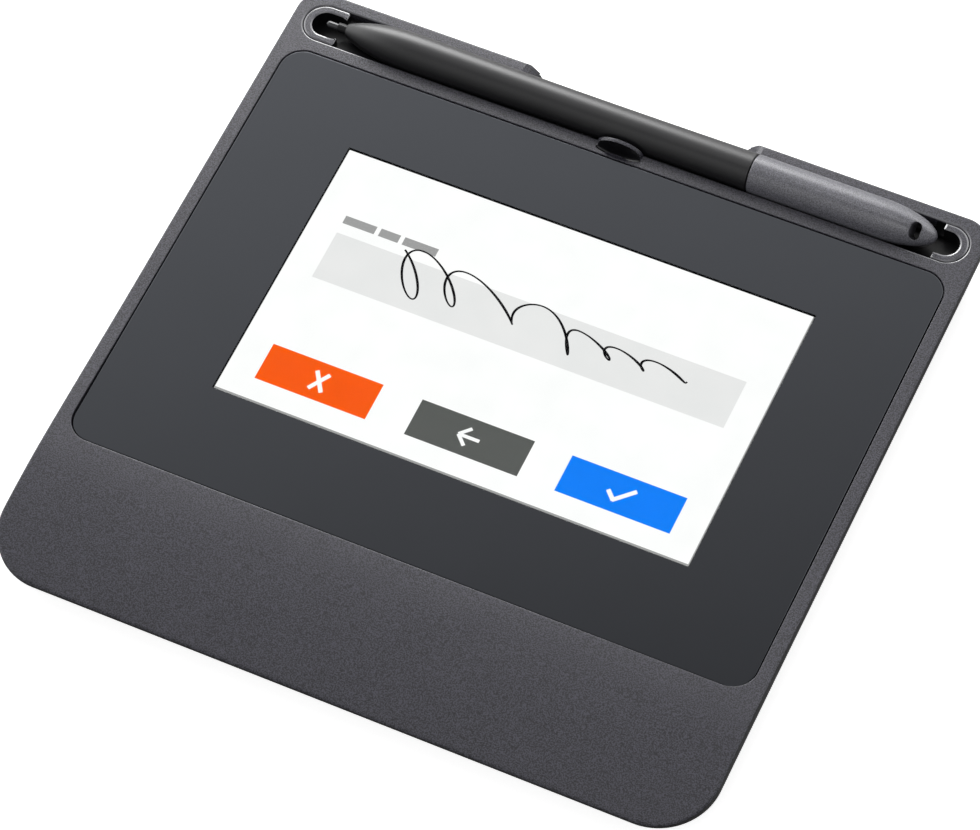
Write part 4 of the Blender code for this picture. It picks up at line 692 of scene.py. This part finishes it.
# Where the top is sliced so that it can bend, and the height above which it does
SLICE_START_Y, SLICE_END_Y, SLICE_STEP, BEND_Z = -77 * MM, -6 * MM, 1.6 * MM, DECK_Z + 0.4 * MM
BAY_GROW, GLASS_RIM_EDGE, BAY_RIM_EDGE = 0.05 * MM, 0.22 * MM, 0.42 * MM
NUB_HALVES = (5.3 * MM, 3.0 * MM, 2.9 * MM)
DISH_CENTRE = (0, BAY_FRONT_Y - 1.6 * MM, TOP_Z + 0.9 * MM)
DISH_HALVES = (5.6 * MM, 1.15 * MM, 2.6 * MM)
# How far off a form a point or face may lie that belongs to it. The dish's is a share of its size
GLASS_SLACK, BAY_SLACK, WALL_SLACK, DISH_SLACK = 0.02 * MM, 0.03 * MM, 0.15 * MM, 0.02
TALL = 6 * MM
CASE_FINISHES, TRAY_FINISHES = ("case", "polished", "chamfer", "wall"), ("tray", "chamfer", "case")


def crest(y):
    """How far the case's top rises or falls at y: a low crest before the glass, then the palm rest."""
    if y >= CREST_Y:
        share = min(1, max(0, 1 - (y - CREST_Y) / CREST_BLEND))
        return CREST_RISE * share * share * (3 - 2 * share)
    return CREST_RISE - PALM_FALL * ((CREST_Y - y) / (CREST_Y - FRONT_Y)) ** SWEEP_POWER


def seam(y):
    """How far the seam between the two cases falls at y."""
    return -SEAM_FALL * (max(0, SEAM_START_Y - y) / (SEAM_START_Y - FRONT_Y)) ** SWEEP_POWER


def sway(piece, test, rise):
    """Raise the points that pass a test by a height that depends on how far back they are."""
    only(piece)
    for point in piece.data.vertices:
        if test(point.co):
            point.co.z += rise(point.co.y)


def round_over(thickness, steps):
    """Inset the selected face step by step along a quarter circle."""
    for step in range(1, steps + 1):
        before, after = [math.pi / 2 * count / steps for count in (step - 1, step)]
        bpy.ops.mesh.inset(thickness=thickness * (math.cos(before) - math.cos(after)),
                           depth=thickness * (math.sin(after) - math.sin(before)))


def case_body():
    """The outside of the case with a flat top, and the skirt that hangs inside the lower case."""
    nothing()
    bpy.ops.mesh.primitive_plane_add(size=1, location=(0, (FRONT_Y + REAR_Y) / 2, PARTING_Z))
    bpy.context.object.scale = (CASE_WIDTH, REAR_Y - FRONT_Y, 1)
    body = edit(named("moulded_top_case"))
    choose(body, "verts", lambda point: point.co.y < 0)
    bpy.ops.mesh.bevel(offset=FRONT_CORNER, segments=26, affect="VERTICES")
    choose(body, "verts", lambda point: point.co.y > REAR_Y - MM)
    bpy.ops.mesh.bevel(offset=REAR_CORNER, segments=14, affect="VERTICES")
    choose_all()
    extrude(0, 0, TOP_Z - EDGE - PARTING_Z)
    choose_all()
    bpy.ops.mesh.normals_make_consistent(inside=False)
    choose(body, "faces", lambda face: face.normal.z > 0.9)
    round_over(EDGE, 4)
    choose(body, "faces", lambda face: face.normal.z < -0.9)
    bpy.ops.mesh.inset(thickness=RIM)
    extrude(0, 0, SKIRT_Z - PARTING_Z)
    return body


def ellipsoid(name, centre, half_sizes):
    """An ellipsoid, as a tool for the thumb nub and its dish."""
    nothing()
    bpy.ops.mesh.primitive_uv_sphere_add(segments=56, ring_count=28, radius=1, location=centre)
    bpy.context.object.scale = half_sizes
    return named(name)


def ear_gap_tool():
    """The opening between the two ears: its ends slope out and flare over the ears' rounded tops."""
    foot, top, depth, round_radius, steps = 22.4 * MM, 27.1 * MM, 4.9 * MM, 3.0 * MM, 7
    inner_y, outer_y, low = PEN_Y + 4.4 * MM, REAR_Y + 4 * MM, PARTING_Z - 4 * MM
    slope = math.atan2(depth, top - foot)
    start = foot - (TOP_Z - depth - low) / math.tan(slope)
    flare_x = top + round_radius * math.tan(slope / 2)
    levels = []
    for step in range(steps + 1):
        angle = slope * (1 - step / steps)
        levels.append((flare_x - round_radius * math.sin(angle),
                       TOP_Z - round_radius * (1 - math.cos(angle))))
    levels.append((flare_x, TOP_Z + MM))
    tool = slab("ear_gap", -start, inner_y, start, outer_y, low, levels[0][1])
    edit(tool)
    choose(tool, "faces", lambda face: face.normal.z > 0.9)
    wide = start
    for index, (half, height) in enumerate(levels):
        if index:
            rise = height - levels[index - 1][1]
            extrude(0, 0, rise)
        bpy.ops.transform.resize(value=(half / wide, 1, 1), center_override=(0, REAR_Y, height))
        wide = half
    close_up()
    return tool


def in_dish(point):
    """Whether a point lies on the dish of the thumb nub."""
    shares = [(point[axis] - DISH_CENTRE[axis]) / DISH_HALVES[axis] for axis in range(3)]
    return abs(math.hypot(*shares) - 1) < DISH_SLACK


def on_glass_rim(point):
    """Whether a point lies on the outline of the recess for the glass."""
    half_x, half_y = GLASS_WIDTH / 2 + GLASS_GAP, GLASS_DEPTH / 2 + GLASS_GAP
    corner = GLASS_CORNER + GLASS_GAP
    x, y = abs(point.x), abs(point.y - GLASS_Y)
    beyond_x, beyond_y = max(0, x - half_x + corner), max(0, y - half_y + corner)
    if beyond_x and beyond_y:
        return abs(math.hypot(beyond_x, beyond_y) - corner) < GLASS_SLACK
    return min(abs(x - half_x), abs(y - half_y)) < GLASS_SLACK and x < half_x + MM and y < half_y + MM


def on_bay_rim(point):
    """Whether a point lies on the outline of the pen bay."""
    radius = BAY_WIDTH / 2 + BAY_GROW
    along = max(0, abs(point.x) - (BAY_LENGTH / 2 + BAY_GROW - radius))
    return abs(math.hypot(along, point.y - PEN_Y) - radius) < BAY_SLACK


def level_edge(height, test):
    """A test for the edges at a height whose ends both pass another test."""
    return lambda edge: all(abs(point.co.z - height) < HAIR and test(point.co) for point in edge.verts)


def on_wall(face):
    """Whether a face belongs to the upright outside wall, below the case's rounded edge."""
    place = face.calc_center_median()
    corner = FRONT_CORNER if place.y < 0 else REAR_CORNER
    beyond_x = abs(place.x) - CASE_WIDTH / 2 + corner
    beyond_y = max(FRONT_Y - place.y, place.y - REAR_Y) + corner
    reach = math.hypot(beyond_x, beyond_y) if min(beyond_x, beyond_y) > 0 else max(beyond_x, beyond_y)
    return abs(face.normal.z) < 0.3 and reach > corner - WALL_SLACK


# Where the screws stand, in millimetres: through the lower case, and through the holder and the tray
CASE_SCREWS = [(-68, -62), (68, -62), (0, -66.5), (0, 58.5), (-68, 58.5), (68, 58.5)]
TRAY_SCREWS = [(-50, 63.1), (50, 63.1)]
SMALL_SCREWS = TRAY_SCREWS + [(-50, -30.4), (50, -30.4), (-50, 53.6), (50, 53.6)]
# The bosses: their places, radius and foot, and their holes' radius and top, in millimetres
BOSSES = [(CASE_SCREWS, 2.6, 3.9, 1.05, 7.7), (SMALL_SCREWS, 2.1, 6.55, 0.9, 8.75)]
# Where a boss ends inside the case, and where the tool for its hole begins, in millimetres
BOSS_ROOT, HOLE_START = 8.0, 3.0
# The data lead's opening: half its height and width, its corners, and its middle
INLET_HALF_Z, INLET_HALF_Y, INLET_CORNER = 1.65 * MM, 4.45 * MM, 0.825 * MM
INLET_PLACE = (-CASE_WIDTH / 2 + MM, 30 * MM, 5.7 * MM)


def post(place, radius, low_z, high_z):
    """A round upright tool for a screw boss or a screw hole. All its sizes are in millimetres."""
    nothing()
    bpy.ops.mesh.primitive_cylinder_add(vertices=28, radius=radius * MM, depth=(high_z - low_z) * MM,
                                        location=(place[0] * MM, place[1] * MM, (low_z + high_z) / 2 * MM))
    return named("post")


def add_bosses(case):
    """The bosses that the screws bite into, each with its blind hole."""
    for places, boss, foot, hole, top in BOSSES:
        for place in places:
            cut(case, post(place, boss, foot, BOSS_ROOT), "UNION")
            cut(case, post(place, hole, HOLE_START, top))


def inlet_tool():
    """The opening for the data lead's plug in the left wall."""
    tool = slab("inlet", -INLET_HALF_Z, -INLET_HALF_Y, INLET_HALF_Z, INLET_HALF_Y, -8 * MM, 8 * MM,
                INLET_CORNER, 4)
    tool.rotation_euler.y = math.pi / 2
    tool.location = INLET_PLACE
    return settle(tool)


def make_top_case():
    """The top case: palm rest, glass recess, pen bay, ears, dished thumb nub, and what lies under them."""
    case = case_body()
    cut(case, ellipsoid("nub", (0, BAY_FRONT_Y, TOP_Z), NUB_HALVES), "UNION")
    glass_x, glass_y = GLASS_WIDTH / 2 + GLASS_GAP, GLASS_DEPTH / 2 + GLASS_GAP
    cut(case, slab("recess", -glass_x, GLASS_Y - glass_y, glass_x, GLASS_Y + glass_y, DECK_Z, TOP_Z + TALL,
                   GLASS_CORNER + GLASS_GAP, 24))
    cut(case, slab("window", -WINDOW_X, LIT_Y - WINDOW_Y, WINDOW_X, LIT_Y + WINDOW_Y, DECK_UNDER_Z - MM,
                   DECK_Z + MM))
    side_x = CASE_WIDTH / 2 - RIM - WALL
    cut(case, slab("under_deck", -side_x, DECK_HOLLOW[0], side_x, DECK_HOLLOW[1], SKIRT_Z - MM,
                   DECK_UNDER_Z, DECK_CORNER, 4))
    cut(case, slab("under_palm", -side_x, PALM_HOLLOW[0], side_x, PALM_HOLLOW[1], SKIRT_Z - MM,
                   PALM_UNDER_Z, PALM_CORNER, 6))
    bay_x, bay_y = BAY_LENGTH / 2 + BAY_GROW, BAY_WIDTH / 2 + BAY_GROW
    cut(case, slab("bay", -bay_x, PEN_Y - bay_y, bay_x, PEN_Y + bay_y, SKIRT_Z - MM, TOP_Z + TALL,
                   bay_y - HAIR, 24))
    cut(case, ear_gap_tool())
    cut(case, ellipsoid("dish", DISH_CENTRE, DISH_HALVES))
    add_bosses(case)
    cut(case, inlet_tool())
    for finish in CASE_FINISHES:
        case.data.materials.append(FINISHES[finish])
    edit(case)
    choose_all()
    bpy.ops.mesh.remove_doubles(threshold=WELD)
    # The upright walls are painted near black as painted shade, on the same plastic as the top
    choose(case, "faces", on_wall)
    paint(case, CASE_FINISHES, "wall")
    choose(case, "edges", level_edge(TOP_Z, on_glass_rim))
    bpy.ops.mesh.bevel(offset=GLASS_RIM_EDGE, segments=3)
    choose(case, "edges", level_edge(TOP_Z, on_bay_rim))
    bpy.ops.mesh.bevel(offset=BAY_RIM_EDGE, segments=4)
    # The bay's bevelled rim is painted lighter as a painted highlight along its edge
    paint(case, CASE_FINISHES, "chamfer")
    choose_all()
    bpy.ops.mesh.dissolve_degenerate(threshold=SLIVER)
    for index in range(int((SLICE_END_Y - SLICE_START_Y) / SLICE_STEP) + 1):
        bisect((0, SLICE_START_Y + index * SLICE_STEP, 0), (0, 1, 0))
    sway(case, lambda place: place.z > BEND_Z, crest)
    sway(case, lambda place: abs(place.z - PARTING_Z) < HAIR, seam)
    edit(case)
    # The dish's faces are painted darker as painted shade in the recess
    choose(case, "faces", lambda face: all(in_dish(point.co) for point in face.verts))
    paint(case, CASE_FINISHES, "polished")
    soften(case, 35)
    install(case, "pad", "case_plastic", None, "top_case")


# The tray in the pen bay

TRAY_Z, TRAY_FLOOR_Z, TRAY_WALL_Z, TRAY_TOP_Z = 5.05 * MM, 6.25 * MM, 8.6 * MM, 10.4 * MM
TRAY_GAP, TRAY_EDGE, LIP_CORNER = 0.1 * MM, 2.6 * MM, 0.55 * MM
# The cradle's gap round the pen, its radius round the nib, and how far the right pocket goes under the cap
CRADLE_GAP, NIB_ROOM, POCKET_REACH = 0.3 * MM, 1.7 * MM, 10.2 * MM
# The tabs in millimetres: half their length, their reach before a screw, their inner end, and their holes
TAB_HALF, TAB_REACH, TAB_END_Y, TAB_HOLE = 4.5, 2.6, 69, (0.9, 4, 7)
# The lips' C-shaped tops are split at these places in millimetres, into parts that fill cleanly
SPLITS = (-74.8, -72.8, -70.8, 70.8, 72.8, 74.8)
LIP_LENGTH, LIP_WIDTH, LIP_END = 8.8 * MM, 1.6 * MM, 1.9 * MM
# The chamfer round a lip's top: how wide it is, and how much it rises
LIP_CHAMFER, LIP_RISE = 0.34 * MM, 0.12 * MM


def turned(name, stations, sides=72):
    """A round piece along the pen's axis, extruded from ring to ring and scaled at each."""
    nothing()
    (start, first), rest = stations[0], stations[1:]
    bpy.ops.mesh.primitive_circle_add(vertices=sides, radius=first, fill_type="NGON",
                                      location=(start, PEN_Y, PEN_Z), rotation=(0, math.pi / 2, 0))
    piece = edit(named(name))
    choose_all()
    along, radius = start, first
    for place, wide in rest:
        extrude(place - along, 0, 0)
        share = wide / radius
        bpy.ops.transform.resize(value=(share, share, share), center_override=(place, PEN_Y, PEN_Z))
        along, radius = place, wide
    close_up()
    return piece


def nose_radius(along):
    """Radius of the barrel's ogive nose."""
    share = 1 - (1 - min(1, along / NOSE_LENGTH)) ** NOSE_POWER
    return NOSE_MOUTH + (PEN_RADIUS - NOSE_MOUTH) * share


def make_tray():
    """The tray: a flush lip round each end, a cradle that follows the pen, and two tabs for screws."""
    half, end = BAY_WIDTH / 2 - TRAY_GAP, BAY_LENGTH / 2 - TRAY_GAP
    tray = slab("polished_pen_tray", -end, PEN_Y - half, end, PEN_Y + half, TRAY_Z, TRAY_TOP_Z - LIP_RISE,
                half - HAIR, 24)
    edit(tray)
    choose(tray, "edges", rim_edges(TRAY_Z))
    bpy.ops.mesh.bevel(offset=TRAY_EDGE, segments=6)
    for x, y in TRAY_SCREWS:
        cut(tray, slab("tab", (x - TAB_HALF) * MM, (y - TAB_REACH) * MM, (x + TAB_HALF) * MM,
                       TAB_END_Y * MM, TRAY_Z, TRAY_FLOOR_Z), "UNION")
        cut(tray, post((x, y), *TAB_HOLE))
    stations = [(NOSE_X - NIB_REACH, NIB_ROOM)]
    stations += [(NOSE_X + place * MM, nose_radius(place * MM) + CRADLE_GAP) for place in range(0, 21, 2)]
    stations += [(TAIL_X + CRADLE_GAP, PEN_RADIUS + CRADLE_GAP)]
    cut(tray, turned("cradle", stations))
    lip_x = BAY_LENGTH / 2 - LIP_LENGTH
    cut(tray, slab("clear", -lip_x, PEN_Y - TALL, lip_x, PEN_Y + TALL, TRAY_WALL_Z, TOP_Z + TALL))
    inner = BAY_WIDTH / 2 - LIP_WIDTH
    pocket_x = BAY_LENGTH / 2 - LIP_END
    for low_x, high_x in ((-pocket_x, NOSE_X), (TAIL_X - POCKET_REACH, pocket_x)):
        cut(tray, slab("end_pocket", low_x, PEN_Y - inner, high_x, PEN_Y + inner, TRAY_FLOOR_Z,
                       TOP_Z + TALL, inner - HAIR, 20))
    edit(tray)
    choose_all()
    bpy.ops.mesh.remove_doubles(threshold=WELD)
    choose(tray, "edges", lambda edge: all(abs(abs(point.co.x) - lip_x) < HAIR
                                           and point.co.z > TRAY_WALL_Z - HAIR for point in edge.verts)
           and abs(edge.verts[0].co.z - edge.verts[1].co.z) > MM)
    bpy.ops.mesh.bevel(offset=LIP_CORNER, segments=5)
    choose_all()
    bpy.ops.mesh.dissolve_degenerate(threshold=SLIVER)
    # Faces left with the first finish are painted near black as painted shade in the trough
    for finish in TRAY_FINISHES:
        tray.data.materials.append(FINISHES[finish])
    for x in SPLITS:
        bisect((x * MM, 0, 0), (1, 0, 0))
    bisect((0, PEN_Y, 0), (0, 1, 0))
    tray_top = TRAY_TOP_Z - LIP_RISE - HAIR
    choose(tray, "faces", lambda face: face.normal.z > 0.9 and face.calc_center_median().z > tray_top)
    # The ring round each lip's top is painted lighter as a painted highlight; the inset middle gets the
    # case's grey
    paint(tray, TRAY_FINISHES, "chamfer")
    bpy.ops.mesh.inset(thickness=LIP_CHAMFER, depth=LIP_RISE)
    paint(tray, TRAY_FINISHES, "case")
    soften(tray, 15)
    install(tray, "pad", "tray_plastic", None, "pen_tray")


def make_lower_case():
    """The lower case: the CAD's own shape, with its curved flanks shaded smooth."""
    case = merged_copy("bottom_case", "lower_case")
    install(case, "pad", "base_plastic", FINISHES["base"], "bottom_case")


make_top_case()
make_tray()
make_lower_case()


# The pen

SPIGOT_RADIUS, SPIGOT_LENGTH, MOUTH_RADIUS = 3.05 * MM, 6 * MM, 1.25 * MM
# The depth of the barrel's waist, and the length and depth of its softened end and of the cap's
WAIST, BARREL_SOFT, CAP_SOFT = 0.2 * MM, (0.3 * MM, 0.22 * MM), (0.25 * MM, 0.2 * MM)
CAP_X, TAIL_LENGTH = BARREL_END_X + 0.2 * MM, 13 * MM
CAP_BORE, CAP_BORE_END_X = 3.35 * MM, TAIL_X - 11 * MM
# The slot for a tether: its middle, half its length and height, its corners, its tilt and its rim's bevel
EYE_X, EYE_HALF_X, EYE_HALF_Y, EYE_CORNER = TAIL_X - 4.4 * MM, 1.15 * MM, 1.9 * MM, 1.14 * MM
EYE_TILT, EYE_EDGE, EYE_NEAR, EYE_SHARP = math.radians(33), 0.2 * MM, 1.5 * MM, math.radians(40)
NIB_RADIUS, NIB_END_X = 0.7 * MM, NOSE_X + 31.2 * MM
# The barrel's bore in millimetres: how far from the nose, and its radius there
BARREL_BORE = [(-1, 1.15), (4, 1.15), (6, 1.9), (12, 2.9), (84, 2.9), (90, 2.35), (103, 2.35)]


def make_barrel():
    """The barrel: an ogive nose, a slight waist, a spigot inside the cap, and a bore from end to end."""
    length = BARREL_END_X - NOSE_X
    stations = [(NOSE_X, MOUTH_RADIUS)]
    for step in range(1, 29):
        along = NOSE_LENGTH * (step / 28) ** 1.6
        stations.append((NOSE_X + along, nose_radius(along)))
    for step in range(1, 17):
        share = step / 16
        place = NOSE_X + NOSE_LENGTH + (length - NOSE_LENGTH - BARREL_SOFT[0]) * share
        stations.append((place, PEN_RADIUS - WAIST * math.sin(math.pi * share)))
    for step in range(1, 5):
        angle = math.pi / 2 * step / 4
        stations.append((BARREL_END_X - BARREL_SOFT[0] * (1 - math.sin(angle)),
                         PEN_RADIUS - BARREL_SOFT[1] * (1 - math.cos(angle))))
    stations += [(BARREL_END_X + HAIR, SPIGOT_RADIUS), (BARREL_END_X + SPIGOT_LENGTH, SPIGOT_RADIUS)]
    barrel = turned("lacquered_barrel", stations)
    cut(barrel, turned("bore", [(NOSE_X + along * MM, radius * MM) for along, radius in BARREL_BORE]))
    soften(barrel, 40)
    install(barrel, "pen", "soft_black", FINISHES["barrel"], "pen_barrel")


def on_eye_rim(edge):
    """Whether an edge is a sharp one of the cap, round the mouth of its slot."""
    near = all(abs(point.co.x - EYE_X) < EYE_NEAR for point in edge.verts)
    return near and len(edge.link_faces) == 2 and edge.calc_face_angle() > EYE_SHARP


def make_cap():
    """The cap: a bored straight body and a rounded tail with a slot through it for a tether."""
    body_end = TAIL_X - TAIL_LENGTH
    stations = [(CAP_X, CAP_BORE + 0.05 * MM), (CAP_X + HAIR, PEN_RADIUS - CAP_SOFT[1])]
    for step in range(1, 5):
        angle = math.pi / 2 * step / 4
        stations.append((CAP_X + CAP_SOFT[0] * math.sin(angle),
                         PEN_RADIUS - CAP_SOFT[1] * math.cos(angle)))
    stations += [(CAP_X + (body_end - CAP_X) * share / 4, PEN_RADIUS) for share in range(1, 5)]
    for step in range(1, 24):
        angle = math.pi / 2 * step / 24
        stations.append((body_end + TAIL_LENGTH * math.sin(angle), PEN_RADIUS * math.cos(angle)))
    cap = turned("speckled_cap", stations)
    cut(cap, turned("cap_bore", [(CAP_X - MM, CAP_BORE), (CAP_BORE_END_X, CAP_BORE)]))
    slot = slab("slot", -EYE_HALF_X, -EYE_HALF_Y, EYE_HALF_X, EYE_HALF_Y, -9 * MM, 9 * MM, EYE_CORNER, 10)
    slot.rotation_euler.x = EYE_TILT
    slot.location = (EYE_X, PEN_Y, PEN_Z)
    cut(cap, settle(slot))
    edit(cap)
    choose(cap, "edges", on_eye_rim)
    bpy.ops.mesh.bevel(offset=EYE_EDGE, segments=3)
    soften(cap, 40)
    install(cap, "pen", "grey_plastic", FINISHES["cap"], "pen_cap")


def make_nib():
    """The nib: a slim rod with a rounded tip."""
    tip = NOSE_X - NIB_REACH
    stations = []
    for step in range(1, 9):
        angle = math.pi / 2 * step / 8
        stations.append((tip + NIB_RADIUS * (1 - math.cos(angle)), NIB_RADIUS * math.sin(angle)))
    stations += [(NOSE_X + 2 * MM, NIB_RADIUS), (NIB_END_X, NIB_RADIUS)]
    nib = turned("acetal_nib", stations, 32)
    soften(nib, 50)
    install(nib, "nib", "nib_plastic", FINISHES["nib"], "nib")


make_barrel()
make_cap()
make_nib()


# Nodes of the frame that keep their shape, by the finish that they are given

KEPT = {
    "ink": ["glass_tape"],
    "panel": ["display_panel"],
    "white": ["backlight"],
    "sheet": ["display_frame", "shield_plate", "usb_socket"],
    "board": ["sensor_board", "main_board", "pen_board"],
    "chip": ["processor", "sensor_controller", "memory_chip", "usb_tongue"],
    "tray": ["nib_collar"],
    "connector": ["display_connector", "sensor_connector"],
    "carrier": ["display_holder", "core_holder", "pressure_sensor"],
    "film": ["display_flex", "sensor_flex"],
    "ferrite": ["ferrite_core"],
    "wire": ["coil"],
    "foot": [f"foot_{index}" for index in range(1, 5)],
    "screw": [f"{kind}_screw_{index}" for kind, count in
              (("case", 6), ("holder", 4), ("tray", 2), ("board", 4)) for index in range(1, count + 1)],
}


def dress_nodes():
    """Give the kept nodes their finishes."""
    for finish, names in KEPT.items():
        for name in names:
            mesh = frame["nodes"][name].data
            mesh.materials.clear()
            mesh.materials.append(FINISHES[finish])


dress_nodes()
